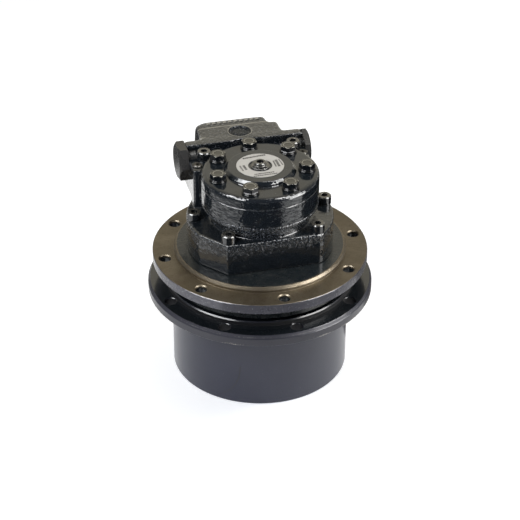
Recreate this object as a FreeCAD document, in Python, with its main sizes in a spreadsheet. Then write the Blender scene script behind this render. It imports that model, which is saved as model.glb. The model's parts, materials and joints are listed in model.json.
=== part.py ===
import FreeCAD, Part
import os
import math
import Sketcher
from FreeCAD import Vector, Rotation, Placement

# Travel final drive for a small tracked excavator.
# A low-speed roller-gear (geroler) hydraulic motor stands on the fixed frame
# flange; its shaft drives a two-stage planetary train whose common ring gear is
# cut inside the turning hub that carries the track sprocket.
#
# Frame: origin on the hub axis at the bottom rim of the hub, +Z along the axis
# towards the motor, +Y towards the valve block. Millimetres.

os.makedirs("parts", exist_ok=True)

doc = FreeCAD.newDocument("final_drive")
sheet = doc.addObject("Spreadsheet::Sheet", "Sizes")
sheet.Label = "Sizes"


class Size:
    """A number with the expression that gives it, so that a sum of sheet cells
    can both draw a sketch and drive it."""

    def __init__(self, value, text):
        self.v = float(value)
        self.t = text

    @staticmethod
    def of(x):
        if isinstance(x, Size):
            return x
        x = float(x)
        return Size(x, "%.9g" % x if x >= 0 else "(0 - %.9g)" % -x)

    def __add__(self, o):
        o = Size.of(o)
        return Size(self.v + o.v, "(%s + %s)" % (self.t, o.t))

    def __radd__(self, o):
        return Size.of(o) + self

    def __sub__(self, o):
        o = Size.of(o)
        return Size(self.v - o.v, "(%s - %s)" % (self.t, o.t))

    def __rsub__(self, o):
        return Size.of(o) - self

    def __mul__(self, o):
        o = Size.of(o)
        return Size(self.v * o.v, "(%s * %s)" % (self.t, o.t))

    def __rmul__(self, o):
        return Size.of(o) * self

    def __truediv__(self, o):
        o = Size.of(o)
        return Size(self.v / o.v, "(%s / %s)" % (self.t, o.t))

    def __neg__(self):
        return Size(0, "0") - self


class Table:
    pass


S = Table()
sheet.set("A1", "size")
sheet.set("B1", "value")
sheet.set("C1", "what it is")
_row = [1]


def size(alias, value, note):
    _row[0] += 1
    cell = "B%d" % _row[0]
    sheet.set("A%d" % _row[0], alias)
    sheet.set(cell, "%.9g" % value)
    sheet.set("C%d" % _row[0], note)
    sheet.setAlias(cell, alias)
    setattr(S, alias, Size(value, "Sizes." + alias))


# ---- hub (turns) ----
size("drum_radius", 82.5, "outside of the drum")
size("drum_edge", 1.0, "chamfer on the drum's lower rim")
size("cover_seat_radius", 74.0, "bore that holds the end cover")
size("cover_seat_top", 12.0, "shoulder behind the end cover")
size("ring_clip_groove_radius", 76.5, "groove of the retaining ring")
size("ring_clip_groove_low", 1.6, "lower wall of that groove")
size("ring_clip_groove_high", 3.8, "upper wall of that groove")
size("tooth_zone_low", 14.0, "lower end of the ring gear")
size("tooth_zone_high", 61.0, "upper end of the ring gear")
size("shoulder_radius", 67.0, "shoulder under the main bearings")
size("bearing_low", 66.0, "lower face of the main bearings")
size("bearing_high", 88.0, "upper face of the main bearings")
size("bearing_outer_radius", 71.0, "main bearing outside")
size("seal_bore_radius", 80.0, "bore for the face seal")
size("seal_bore_floor", 90.0, "floor of that bore")
size("flange_low", 81.0, "lower face of the sprocket flange")
size("flange_high", 92.0, "upper face of the sprocket flange")
size("flange_radius", 105.0, "sprocket flange outside")
size("flange_bevel_radius", 103.0, "inner edge of the flange bevel")
size("flange_bevel_low", 88.6, "lower edge of the flange bevel")
size("lip_radius", 88.6, "seal lip outside")
size("lip_high", 96.7, "top of the seal lip")
size("sprocket_circle", 190.0, "bolt circle of the sprocket holes")
size("sprocket_hole", 5.5, "radius of the sprocket holes")
size("sprocket_hole_count", 9, "number of sprocket holes")
size("sprocket_hole_angle", 36.5, "direction of one of them, degrees")

# ---- spindle and frame flange (fixed) ----
size("frame_low", 112.3, "lower face of the frame flange")
size("frame_high", 122.0, "upper face of the frame flange")
size("frame_radius", 100.0, "frame flange outside")
size("frame_circle", 180.0, "bolt circle of the frame holes")
size("frame_hole", 5.25, "radius of the frame holes")
size("pilot_radius", 80.0, "pilot boss outside")
size("pilot_edge_low", 124.6, "lower edge of the pilot chamfer")
size("pilot_top_radius", 78.6, "top edge of the pilot chamfer")
size("pilot_high", 127.0, "top of the pilot boss")
size("skirt_radius", 86.0, "seal skirt outside")
size("skirt_low", 98.7, "bottom of the seal skirt")
size("seal_pocket_floor", 107.0, "blind end of the seal pocket")
size("spindle_neck", 64.0, "spindle behind the bearings")
size("spindle_nose", 54.0, "bearing seat on the spindle")
size("spindle_low", 57.5, "lower end of the spindle nose")

# ---- gears ----
size("gear_module", 2.5, "module of every gear")
size("gear_pressure", 25.0, "pressure angle, degrees")
size("gear_addendum", 0.8, "addendum in modules, stub teeth")
size("gear_dedendum", 1.04, "dedendum in modules")
size("gear_backlash", 0.06, "tooth thinning at the pitch circle")
size("ring_teeth", 54, "ring gear")
size("sunone_teeth", 12, "first sun")
size("planetone_teeth", 21, "first planets")
size("suntwo_teeth", 18, "second sun")
size("planettwo_teeth", 18, "second planets")
size("planetone_distance", 41.25, "first planets' centre distance")
size("planettwo_distance", 45.0, "second planets' centre distance")
size("planetone_low", 15.4, "lower face of the first planets")
size("planetone_height", 14.2, "face width of the first planets")
size("planettwo_low", 41.2, "lower face of the second planets")
size("planettwo_height", 15.0, "face width of the second planets")
size("carrier_low", 31.0, "lower face of the carrier plate")
size("carrier_high", 38.0, "upper face of the carrier plate")
size("carrier_radius", 52.0, "carrier plate outside")

# ---- motor ----
size("plate_radius", 68.0, "motor flange plate")
size("plate_flat", 50.4, "its front flat, distance from the axis")
size("plate_high", 158.0, "top of the plate")
size("stack_radius", 54.0, "round motor sections")
size("stack_foot_radius", 46.8, "lower section where it meets the plate")
size("stack_base_high", 173.5, "top of the lower section")
size("rotor_ring_high", 192.3, "top of the roller ring")
size("cover_high", 203.3, "top of the end cover plate")
size("cover_round", 4.5, "rounding of the cover's rim")
size("disc_base_radius", 32.4, "raised disc at its foot")
size("disc_radius", 29.8, "raised disc at its top")
size("disc_high", 207.7, "top of the raised disc")
size("bolt_circle_radius", 42.5, "cover bolts' circle")
size("bolt_count", 7, "cover bolts")
size("roller_circle_radius", 31.5, "rollers' circle")
size("roller_radius", 6.0, "roller radius")
size("rotor_offset", 3.0, "eccentricity of the rotor")
size("label_outer", 21.7, "label ring outside")
size("label_inner", 11.0, "label ring inside")

# ---- valve block ----
size("block_left", 57.0, "left side wall, distance from the axis")
size("block_right", 54.0, "right side wall")
size("block_front", 22.0, "front faces beside the stack")
size("block_low", 162.0, "underside")
size("ledge_high", 197.0, "ledge")
size("bar_front", 52.5, "front wall of the bar")
size("bar_rear", 62.0, "rear of the bar")
size("bar_high", 207.0, "top of the bar")
size("slab_left", 41.0, "rear block, left wall")
size("slab_right", 37.0, "rear block, right wall")
size("slab_rear", 83.0, "rear edge of the slab")
size("slab_high", 206.8, "top of the slab")
size("strip_right", 28.5, "rear strip, right end")
size("strip_rear", 100.0, "rear face")
size("strip_high", 203.9, "rear edge height")
size("valve_y", 56.6, "relief valve axis, distance from the motor axis")
size("valve_z", 190.0, "relief valve axis height")
size("poppet_radius", 6.5, "relief valve poppet")
size("poppet_seat", 27.5, "poppet seat, distance from the middle plane")
size("poppet_stroke", 2.5, "poppet lift")
size("plug_inner", 48.0, "inner face of the valve plugs, from the middle plane")
size("work_port_radius", 9.3, "work port thread")
size("drain_port_radius", 5.0, "drain port thread")
size("screw_ledge_x", 42.4, "rear socket screws")
size("screw_ledge_y", 44.0, "rear socket screws")

# ---------------------------------------------------------------------------
# helpers
# ---------------------------------------------------------------------------
WRITTEN = []          # (node name, document object)


def drive(obj, prop, q):
    """Give a property its size and bind it to the sheet."""
    q = Size.of(q)
    if "." not in prop and "[" not in prop:
        setattr(obj, prop, q.v)
    if "Sizes." in q.t:
        obj.setExpression(prop, q.t)


def place(obj, x=0, y=0, z=0, rot=None):
    x, y, z = Size.of(x), Size.of(y), Size.of(z)
    obj.Placement = Placement(Vector(x.v, y.v, z.v), rot if rot else Rotation())
    for axis, q in (("x", x), ("y", y), ("z", z)):
        if "Sizes." in q.t:
            obj.setExpression("Placement.Base." + axis, q.t)
    return obj


UP = Rotation()
ALONG_X = Rotation(Vector(0, 1, 0), 90)
ALONG_Y = Rotation(Vector(1, 0, 0), -90)


def origin_plane(body, role):
    for f in body.Origin.OriginFeatures:
        if f.Role == role:
            return f
    raise RuntimeError(role)


def pin_point(sk, geo, pos, x, y):
    """Tie one point of a sketch to its place, from the sheet."""
    for direction, q, axis_geo in (("DistanceX", x, -2), ("DistanceY", y, -1)):
        q = Size.of(q)
        if abs(q.v) < 1e-9:
            sk.addConstraint(Sketcher.Constraint("PointOnObject", geo, pos, axis_geo))
        else:
            n = sk.addConstraint(Sketcher.Constraint(direction, -1, 1, geo, pos, q.v))
            if "Sizes." in q.t:
                sk.setExpression("Constraints[%d]" % n, q.t)


def outline(sk, pts):
    """A closed outline of straight lines, every corner tied."""
    n = len(pts)
    P = [(Size.of(a), Size.of(b)) for a, b in pts]
    for i in range(n):
        a, b = P[i], P[(i + 1) % n]
        sk.addGeometry(Part.LineSegment(Vector(a[0].v, a[1].v, 0), Vector(b[0].v, b[1].v, 0)), False)
    for i in range(n):
        sk.addConstraint(Sketcher.Constraint("Coincident", i, 2, (i + 1) % n, 1))
    for i in range(n):
        pin_point(sk, i, 1, P[i][0], P[i][1])


def turned(name, pts, z0=0, rot=None, x=0, y=0):
    """A body turned about its own Z axis from a half section (radius, height).
    Heights are given in the frame it is placed in and z0 is its seat."""
    body = doc.addObject("PartDesign::Body", name)
    sk = body.newObject("Sketcher::SketchObject", name + "_section")
    sk.AttachmentSupport = [(origin_plane(body, "XZ_Plane"), "")]
    sk.MapMode = "FlatFace"
    z0 = Size.of(z0)
    outline(sk, [(r, Size.of(z) - z0 if z0.v else z) for r, z in pts])
    rev = body.newObject("PartDesign::Revolution", name + "_turn")
    rev.Profile = sk
    rev.ReferenceAxis = (sk, ["V_Axis"])
    rev.Angle = 360
    body.Tip = rev
    place(body, x, y, z0, rot)
    return body


def padded(name, pts, low, high, x=0, y=0):
    """A body extruded up from a plan outline."""
    body = doc.addObject("PartDesign::Body", name)
    sk = body.newObject("Sketcher::SketchObject", name + "_plan")
    sk.AttachmentSupport = [(origin_plane(body, "XY_Plane"), "")]
    sk.MapMode = "FlatFace"
    outline(sk, pts)
    pad = body.newObject("PartDesign::Pad", name + "_pad")
    pad.Profile = sk
    drive(pad, "Length", Size.of(high) - Size.of(low))
    body.Tip = pad
    place(body, x, y, low)
    return body


def hole_ring(body, name, hole_r, ring_r, angle, count, z, depth, z0=0):
    """A ring of equal holes, cut down from height z by a pocket and a polar
    pattern about the body's axis."""
    doc.recompute()
    before = body.Shape.Volume
    z = Size.of(z) - Size.of(z0) if Size.of(z0).v else Size.of(z)
    sk = body.newObject("Sketcher::SketchObject", name + "_sketch")
    sk.AttachmentSupport = [(origin_plane(body, "XY_Plane"), "")]
    sk.MapMode = "FlatFace"
    sk.AttachmentOffset = Placement(Vector(0, 0, z.v), Rotation(Vector(0, 0, 1), Size.of(angle).v))
    if "Sizes." in z.t:
        sk.setExpression("AttachmentOffset.Base.z", z.t)
    q = Size.of(hole_r)
    c = sk.addGeometry(Part.Circle(Vector(Size.of(ring_r).v, 0, 0), Vector(0, 0, 1), q.v), False)
    n = sk.addConstraint(Sketcher.Constraint("Radius", c, q.v))
    if "Sizes." in q.t:
        sk.setExpression("Constraints[%d]" % n, q.t)
    pin_point(sk, c, 3, ring_r, 0)
    pk = body.newObject("PartDesign::Pocket", name)
    pk.Profile = sk
    pk.Type = 0
    drive(pk, "Length", depth)
    body.Tip = pk
    if Size.of(count).v > 1:
        pp = body.newObject("PartDesign::PolarPattern", name + "_ring")
        pp.Originals = [pk]
        pp.Axis = (sk, ["N_Axis"])
        pp.Angle = 360
        pp.Occurrences = int(Size.of(count).v)
        if "Sizes." in Size.of(count).t:
            pp.setExpression("Occurrences", Size.of(count).t)
        body.Tip = pp
    doc.recompute()
    cutaway = before - body.Shape.Volume
    full = math.pi * q.v ** 2 * Size.of(depth).v * Size.of(count).v
    if not 0.2 * full < cutaway < 1.02 * full:
        raise RuntimeError("%s cut %.1f of %.1f mm3" % (name, cutaway, full))
    return body


def rim_chamfer(body, name, radius, z, width, z0=0):
    """Chamfer every circular edge of one radius at one height."""
    doc.recompute()
    tip = body.Tip
    zl = Size.of(z).v - Size.of(z0).v
    names = []
    for i, e in enumerate(tip.Shape.Edges):
        c = e.Curve
        if isinstance(c, Part.Circle) and abs(c.Radius - Size.of(radius).v) < 1e-3 and abs(c.Center.z - zl) < 1e-3:
            names.append("Edge%d" % (i + 1))
    if not names:
        raise RuntimeError("no edge for " + name)
    ch = body.newObject("PartDesign::Chamfer", name)
    ch.Base = (tip, names)
    drive(ch, "Size", width)
    body.Tip = ch
    doc.recompute()
    return body


def cylinder(name, radius, height, x=0, y=0, z=0, rot=None):
    o = doc.addObject("Part::Cylinder", name)
    drive(o, "Radius", radius)
    drive(o, "Height", height)
    return place(o, x, y, z, rot)


def cone(name, r1, r2, height, x=0, y=0, z=0, rot=None):
    o = doc.addObject("Part::Cone", name)
    drive(o, "Radius1", r1)
    drive(o, "Radius2", r2)
    drive(o, "Height", height)
    return place(o, x, y, z, rot)


def box(name, x0, x1, y0, y1, z0, z1):
    o = doc.addObject("Part::Box", name)
    drive(o, "Length", Size.of(x1) - Size.of(x0))
    drive(o, "Width", Size.of(y1) - Size.of(y0))
    drive(o, "Height", Size.of(z1) - Size.of(z0))
    return place(o, x0, y0, z0)


def torus(name, ring_r, wire_r, z, x=0, y=0, rot=None):
    o = doc.addObject("Part::Torus", name)
    drive(o, "Radius1", ring_r)
    drive(o, "Radius2", wire_r)
    return place(o, x, y, z, rot)


def prism(name, across_flats, height, x=0, y=0, z=0, rot=None, turn=0):
    """A hexagonal bar of one width across flats."""
    o = doc.addObject("Part::Prism", name)
    o.Polygon = 6
    drive(o, "Circumradius", Size.of(across_flats) * (1 / math.sqrt(3)))
    drive(o, "Height", height)
    r = (rot if rot else Rotation()).multiply(Rotation(Vector(0, 0, 1), turn))
    return place(o, x, y, z, r)


def cut(name, base, tools):
    if len(tools) > 1:
        t = doc.addObject("Part::MultiFuse", name + "_tools")
        t.Shapes = list(tools)
    else:
        t = tools[0]
    o = doc.addObject("Part::Cut", name)
    o.Base = base
    o.Tool = t
    return o


def fuse(name, parts):
    o = doc.addObject("Part::MultiFuse", name)
    o.Shapes = list(parts)
    return o


def common(name, parts):
    o = doc.addObject("Part::MultiCommon", name)
    o.Shapes = list(parts)
    return o


def feature(name, shape, x=0, y=0, z=0, rot=None):
    o = doc.addObject("Part::Feature", name)
    o.Shape = shape
    return place(o, x, y, z, rot)


def node(obj, label):
    """Name a finished sub-part; its label names its file."""
    obj.Label = label
    WRITTEN.append((label, obj))
    return obj


def copies(label, master, places):
    """One node holding several separate copies of a finished piece."""
    doc.recompute()
    shapes = []
    for p in places:
        s = master.Shape.copy()
        s.Placement = p.multiply(s.Placement)
        shapes.append(s)
    o = doc.addObject("Part::Feature", label + "_set")
    o.Shape = Part.makeCompound(shapes)
    o.Placement = Placement()
    return node(o, label)


def ring_places(radius, first, count, z=0.0):
    out = []
    for k in range(int(count)):
        a = math.radians(first + 360.0 * k / count)
        out.append(Placement(Vector(radius * math.cos(a), radius * math.sin(a), z), Rotation(Vector(0, 0, 1), math.degrees(a))))
    return out


# ---------------------------------------------------------------------------
# gear outlines: true involute flanks
# ---------------------------------------------------------------------------
def involute(a):
    return math.tan(a) - a


def tooth_wire(teeth, module, tip, root, thick, pressure, first=0.0):
    """Closed wire round a set of external-type teeth; also the void of an
    internal gear, whose spaces have the same flanks."""
    teeth = int(round(teeth))
    rp = module * teeth / 2.0
    pa = math.radians(pressure)
    rb = rp * math.cos(pa)

    def half(r):
        if r <= rb:
            return thick / (2 * rp) + involute(pa)
        return thick / (2 * rp) + involute(pa) - involute(math.acos(rb / r))

    r0 = max(rb, root)
    radii = [r0 + (tip - r0) * (i / 5.0) for i in range(6)]

    def at(r, a):
        return Vector(r * math.cos(a), r * math.sin(a), 0)

    edges = []
    pitch = 2 * math.pi / teeth
    for k in range(teeth):
        c = first + k * pitch
        right = [at(r, c - half(r)) for r in radii]
        left = [at(r, c + half(r)) for r in reversed(radii)]
        if root < rb - 1e-6:
            edges.append(Part.makeLine(at(root, c - half(rb)), right[0]))
        b = Part.BSplineCurve()
        b.interpolate(right)
        edges.append(b.toShape())
        edges.append(Part.Arc(right[-1], at(tip, c), left[0]).toShape())
        b = Part.BSplineCurve()
        b.interpolate(left)
        edges.append(b.toShape())
        if root < rb - 1e-6:
            edges.append(Part.makeLine(left[-1], at(root, c + half(rb))))
        start = c + half(r0)
        stop = c + pitch - half(r0)
        edges.append(Part.Arc(at(root, start), at(root, (start + stop) / 2), at(root, stop)).toShape())
    return Part.Wire(edges)


M = S.gear_module.v
PITCH = math.pi * M


def gear_wire(name, teeth, extra=0.0, module=M, grow=0.0):
    z = int(teeth.v) if isinstance(teeth, Size) else int(teeth)
    rp = module * z / 2.0
    w = tooth_wire(z, module, rp + S.gear_addendum.v * module + grow,
                   rp - S.gear_dedendum.v * module + grow,
                   math.pi * module / 2 - S.gear_backlash.v + extra, S.gear_pressure.v)
    o = doc.addObject("Part::Feature", name + "_outline")
    o.Shape = Part.Face(w)
    return o


def gear_blank(name, wire, height, z=0, x=0, y=0, rot=None):
    o = doc.addObject("Part::Extrusion", name)
    o.Base = wire
    o.DirMode = "Custom"
    o.Dir = Vector(0, 0, 1)
    o.Solid = True
    drive(o, "LengthFwd", height)
    return place(o, x, y, z, rot)


# ---------------------------------------------------------------------------
# turning hub
# ---------------------------------------------------------------------------
hub = turned("hub_blank", [
    (S.cover_seat_radius + 0.8, 0), (S.drum_radius - S.drum_edge, 0), (S.drum_radius, S.drum_edge),
    (S.drum_radius, S.flange_low - 1.6), (S.drum_radius + 1.6, S.flange_low),
    (S.flange_radius - 0.8, S.flange_low), (S.flange_radius, S.flange_low + 0.8),
    (S.flange_radius, S.flange_bevel_low), (S.flange_bevel_radius, S.flange_high),
    (S.lip_radius, S.flange_high), (S.lip_radius, S.lip_high - 1.0), (S.lip_radius - 1.0, S.lip_high),
    (S.seal_bore_radius, S.lip_high), (S.seal_bore_radius, S.seal_bore_floor),
    (S.bearing_outer_radius, S.seal_bore_floor), (S.bearing_outer_radius, S.bearing_low),
    (S.shoulder_radius, S.bearing_low), (S.shoulder_radius, S.tooth_zone_high),
    (60, S.tooth_zone_high), (60, S.tooth_zone_low),
    (S.bearing_outer_radius, S.tooth_zone_low), (S.bearing_outer_radius, S.cover_seat_top),
    (S.cover_seat_radius, S.cover_seat_top), (S.cover_seat_radius, S.ring_clip_groove_high),
    (S.ring_clip_groove_radius, S.ring_clip_groove_high), (S.ring_clip_groove_radius, S.ring_clip_groove_low),
    (S.cover_seat_radius, S.ring_clip_groove_low), (S.cover_seat_radius, 0.8)])
hole_ring(hub, "sprocket_holes", S.sprocket_hole, S.sprocket_circle / 2, S.sprocket_hole_angle,
          S.sprocket_hole_count, S.flange_high, S.flange_high - S.flange_low)
rim_chamfer(hub, "sprocket_hole_chamfer", S.sprocket_hole, S.flange_high, 0.5)
# ring gear void: spaces between teeth whose centres include +X
ring_void_wire = doc.addObject("Part::Feature", "ring_void_outline")
ring_rp = M * S.ring_teeth.v / 2
ring_void_wire.Shape = Part.Face(tooth_wire(
    S.ring_teeth.v, M, ring_rp + S.gear_dedendum.v * M, ring_rp - S.gear_addendum.v * M,
    PITCH / 2 + S.gear_backlash.v, S.gear_pressure.v, math.pi / S.ring_teeth.v))
ring_void = gear_blank("ring_void", ring_void_wire, S.tooth_zone_high - S.tooth_zone_low + 2,
                       S.tooth_zone_low - 1)
drum_hub = node(cut("drum_hub_body", hub, [ring_void]), "drum_hub")

end_cover = turned("end_cover_body", [
    (0, 5.8), (30, 5.8), (33, 3.9), (S.cover_seat_radius - 0.55, 3.9), (S.cover_seat_radius - 0.05, 4.4),
    (S.cover_seat_radius - 0.05, 7.0), (S.cover_seat_radius - 2.2, 7.0), (S.cover_seat_radius - 2.2, 9.8),
    (S.cover_seat_radius - 0.05, 9.8), (S.cover_seat_radius - 0.05, S.cover_seat_top),
    (7.5, S.cover_seat_top), (7.5, 9.0), (0, 9.0)], 3.9)
hole_ring(end_cover, "oil_plug_holes", 6.0, 52.0, 20.0, 2, S.cover_seat_top, S.cover_seat_top - 3.9, 3.9)
node(end_cover, "end_cover")
node(torus("end_cover_seal", S.cover_seat_radius - 1.12, 1.08, 8.4), "end_cover_o_ring")
# split retaining ring, gap at -Y
rr = turned("retaining_ring_blank", [
    (S.cover_seat_radius - 3.6, 1.72), (S.ring_clip_groove_radius - 0.25, 1.72),
    (S.ring_clip_groove_radius - 0.25, 3.72), (S.cover_seat_radius - 3.6, 3.72)], 1.72)
rr_lug = cylinder("ring_lug", 4.2, 2.0, 12.0, -(S.cover_seat_radius - 4.6), 1.72)
rr_lug2 = cylinder("ring_lug_two", 4.2, 2.0, -12.0, -(S.cover_seat_radius - 4.6), 1.72)
rr_full = fuse("retaining_ring_full", [rr, rr_lug, rr_lug2])
rr_gap = box("ring_gap", -8.0, 8.0, -90.0, -40.0, 0.0, 6.0)
rr_eye = cylinder("ring_eye", 1.4, 6.0, 12.6, -(S.cover_seat_radius - 4.9), 0.0)
rr_eye2 = cylinder("ring_eye_two", 1.4, 6.0, -12.6, -(S.cover_seat_radius - 4.9), 0.0)
node(cut("retaining_ring_body", rr_full, [rr_gap, rr_eye, rr_eye2]), "retaining_ring")
# oil plugs: flush socket plugs with a small seating head
plug = turned("oil_plug_blank", [(0, 0), (7.2, 0), (7.9, 0.7), (7.9, 2.2), (5.95, 2.2), (5.95, 10.3), (0, 10.3)])
plug_hex = prism("oil_plug_hex", 6.0, 5.0, 0, 0, -1.0)
oil_plug = cut("oil_plug_master", plug, [plug_hex])
copies("oil_plugs", oil_plug, ring_places(52.0, 20.0, 2, 1.68))
node(turned("thrust_button_body", [(0, 9.0), (7.4, 9.0), (7.4, 13.2), (6.6, 14.0), (0, 14.0)], 9.0), "thrust_button")

# ---------------------------------------------------------------------------
# main bearings: two equal thin-section ball bearings side by side
# ---------------------------------------------------------------------------
half_width = (S.bearing_high - S.bearing_low) / 2
BALL_CIRCLE, BALL_R, GROOVE_R = 62.5, 4.3, 4.38


def race(name, inner, low):
    """One bearing ring with its ball groove."""
    if inner:
        blank = turned(name + "_blank", [(S.spindle_nose, low), (60.4, low), (60.4, low + half_width), (S.spindle_nose, low + half_width)], low)
    else:
        blank = turned(name + "_blank", [(64.6, low), (S.bearing_outer_radius, low), (S.bearing_outer_radius, low + half_width), (64.6, low + half_width)], low)
    groove = torus(name + "_groove", BALL_CIRCLE, GROOVE_R, low + half_width / 2)
    return cut(name, blank, [groove])


ball = doc.addObject("Part::Sphere", "bearing_ball")
ball.Radius = BALL_R
BALLS = 30
TWO_ROWS = [Placement(), Placement(Vector(0, 0, half_width.v), Rotation())]
copies("bearing_inner_rings", race("bearing_inner_body", True, S.bearing_low), TWO_ROWS)
copies("bearing_outer_rings", race("bearing_outer_body", False, S.bearing_low), TWO_ROWS)
copies("bearing_balls", ball, ring_places(BALL_CIRCLE, 3.0, BALLS, S.bearing_low.v + half_width.v / 2)
       + ring_places(BALL_CIRCLE, 9.0, BALLS, S.bearing_low.v + 1.5 * half_width.v))
nut = turned("locknut_blank", [(S.spindle_nose, 58.2), (61.2, 58.2), (62.2, 59.2), (62.2, 65.4), (61.2, S.bearing_low), (S.spindle_nose, S.bearing_low)], 58.2)
nut_slots = [box("nut_slot_%d" % k, 58.6, 66.0, -3.0, 3.0, 55.0, 70.0) for k in range(4)]
for k, s_ in enumerate(nut_slots):
    s_.Placement = Placement(Vector(0, 0, 0), Rotation(Vector(0, 0, 1), 90.0 * k)).multiply(s_.Placement)
    s_.setExpression("Placement.Base.z", None)
node(cut("locknut_body", nut, nut_slots), "bearing_locknut")

# ---------------------------------------------------------------------------
# floating face seal between hub and spindle
# ---------------------------------------------------------------------------
node(turned("seal_ring_lower_body", [(68.5, 90.5), (73.0, 90.5), (74.2, 93.6), (75.6, 94.4), (75.6, 97.6), (74.0, 97.95), (69.0, 97.95), (68.5, 97.4)], 90.5), "face_seal_ring_lower")
node(turned("seal_ring_upper_body", [(68.5, 106.0), (73.0, 106.0), (74.2, 103.0), (75.6, 102.2), (75.6, 98.9), (74.0, 98.02), (69.0, 98.02), (68.5, 98.6)], 98.02), "face_seal_ring_upper")
node(torus("seal_rubber_lower_body", 77.4, 2.28, 92.9), "face_seal_rubber_lower")
node(torus("seal_rubber_upper_body", 77.4, 2.28, 103.6), "face_seal_rubber_upper")

# ---------------------------------------------------------------------------
# spindle with frame flange
# ---------------------------------------------------------------------------
spindle = turned("spindle_body", [
    (18.0, S.spindle_low), (S.spindle_nose - 1.0, S.spindle_low), (S.spindle_nose, S.spindle_low + 1.0),
    (S.spindle_nose, S.bearing_high), (S.spindle_neck, S.bearing_high), (S.spindle_neck, S.seal_pocket_floor),
    (S.seal_bore_radius, S.seal_pocket_floor), (S.seal_bore_radius, S.skirt_low), (S.skirt_radius, S.skirt_low),
    (S.skirt_radius, S.frame_low), (S.frame_radius - 0.8, S.frame_low), (S.frame_radius, S.frame_low + 0.8),
    (S.frame_radius, S.frame_high - 0.6), (S.frame_radius - 0.6, S.frame_high),
    (S.pilot_radius, S.frame_high), (S.pilot_radius, S.pilot_edge_low), (S.pilot_top_radius, S.pilot_high),
    (24.0, S.pilot_high), (24.0, 95.6), (25.2, 95.6), (25.2, 94.1), (23.5, 94.1), (23.5, 82.0),
    (20.0, 82.0), (20.0, 70.0), (18.0, 70.0)])
hole_ring(spindle, "frame_holes_main", S.frame_hole, S.frame_circle / 2, 0.0, 4, S.frame_high, S.frame_high - S.frame_low)
hole_ring(spindle, "frame_holes_side", S.frame_hole, S.frame_circle / 2, 40.0, 2, S.frame_high, S.frame_high - S.frame_low)
hole_ring(spindle, "frame_holes_other", S.frame_hole, S.frame_circle / 2, 140.0, 2, S.frame_high, S.frame_high - S.frame_low)
rim_chamfer(spindle, "frame_hole_chamfer", S.frame_hole, S.frame_high, 1.0)
hole_ring(spindle, "planet_pin_seats", 6.5, S.planettwo_distance, 0.0, 4, 76.0, 76.0 - S.spindle_low)
FRONT_SCREWS = [(-61.2, 3.8), (62.4, 4.0), (-39.6, -42.2), (43.2, -42.3)]
REAR_SCREWS = [(-S.screw_ledge_x.v, S.screw_ledge_y.v), (S.screw_ledge_x.v, S.screw_ledge_y.v)]
taps = []
for k, (px, py) in enumerate(FRONT_SCREWS + REAR_SCREWS):
    taps.append(cylinder("screw_tap_%d" % k, 4.0, 20.0, px, py, 110.0))
node(cut("spindle_tapped", spindle, taps), "spindle_frame_flange")

# ---------------------------------------------------------------------------
# planetary train
# ---------------------------------------------------------------------------
# second stage: planets on pins fixed in the spindle
pin2 = turned("pin_two_blank", [(0, 39.0), (8.4, 39.0), (9.0, 39.6), (9.0, 41.0), (6.5, 41.0), (6.5, 75.0), (5.5, 76.0), (0, 76.0)], 39.0)
copies("stage_two_pins", pin2, ring_places(S.planettwo_distance.v, 0.0, 4))
washer2 = turned("washer_two_blank", [(6.6, 56.35), (12.5, 56.35), (12.5, 57.45), (6.6, 57.45)], 56.35)
copies("stage_two_thrust_washers", washer2, ring_places(S.planettwo_distance.v, 0.0, 4))
planet2_wire = gear_wire("planet_two", S.planettwo_teeth)
sun2_wire = gear_wire("sun_two", S.suntwo_teeth)
for k in range(4):
    a = 90.0 * k
    phi = math.radians(a)
    psi = phi + math.pi - math.pi / S.planettwo_teeth.v + phi * S.suntwo_teeth.v / S.planettwo_teeth.v
    blank = gear_blank("planet_two_%d_blank" % (k + 1), planet2_wire, S.planettwo_height)
    bore = cylinder("planet_two_%d_bore" % (k + 1), 10.25, 40.0, 0, 0, -10.0)
    g = cut("planet_two_%d_body" % (k + 1), blank, [bore])
    c, s = (1, 0, -1, 0)[k], (0, 1, 0, -1)[k]
    place(g, S.planettwo_distance * c, S.planettwo_distance * s, S.planettwo_low, Rotation(Vector(0, 0, 1), math.degrees(psi)))
    node(g, "stage_two_planet_%d" % (k + 1))
bush2 = turned("bush_two_blank", [(6.5, 41.4), (10.2, 41.4), (10.2, 56.0), (6.5, 56.0)], 41.4)
copies("stage_two_bushes", bush2, ring_places(S.planettwo_distance.v, 0.0, 4))
sun2_blank = gear_blank("sun_two_blank", sun2_wire, 56.2 - S.carrier_low)
sun2_bore = cylinder("sun_two_bore", 9.2, 60.0, 0, 0, -10.0)
sun2 = cut("sun_two_body", sun2_blank, [sun2_bore])
place(sun2, 0, 0, S.carrier_low)
node(sun2, "stage_two_sun")

# first stage: carrier plate splined to the second sun, planets below it
PHI1 = 180.0 / (S.sunone_teeth.v + S.ring_teeth.v)
carrier = turned("carrier_plate", [(12.0, S.carrier_low), (S.carrier_radius - 1, S.carrier_low), (S.carrier_radius, S.carrier_low + 1),
                                   (S.carrier_radius, S.carrier_high - 1), (S.carrier_radius - 1, S.carrier_high), (12.0, S.carrier_high)], S.carrier_low)
hole_ring(carrier, "carrier_pin_holes", 6.0, S.planetone_distance, PHI1, 3, S.carrier_high, 7.0, S.carrier_low)
hole_ring(carrier, "carrier_oil_holes", 7.0, S.planetone_distance - 3, PHI1 + 60, 3, S.carrier_high, 7.0, S.carrier_low)
spline_wire = gear_wire("carrier_spline", S.suntwo_teeth, 0.04, M, 0.02)
spline = gear_blank("carrier_spline", spline_wire, 20.0, S.carrier_low - 5)
node(cut("carrier_body", carrier, [spline]), "stage_one_carrier")
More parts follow.
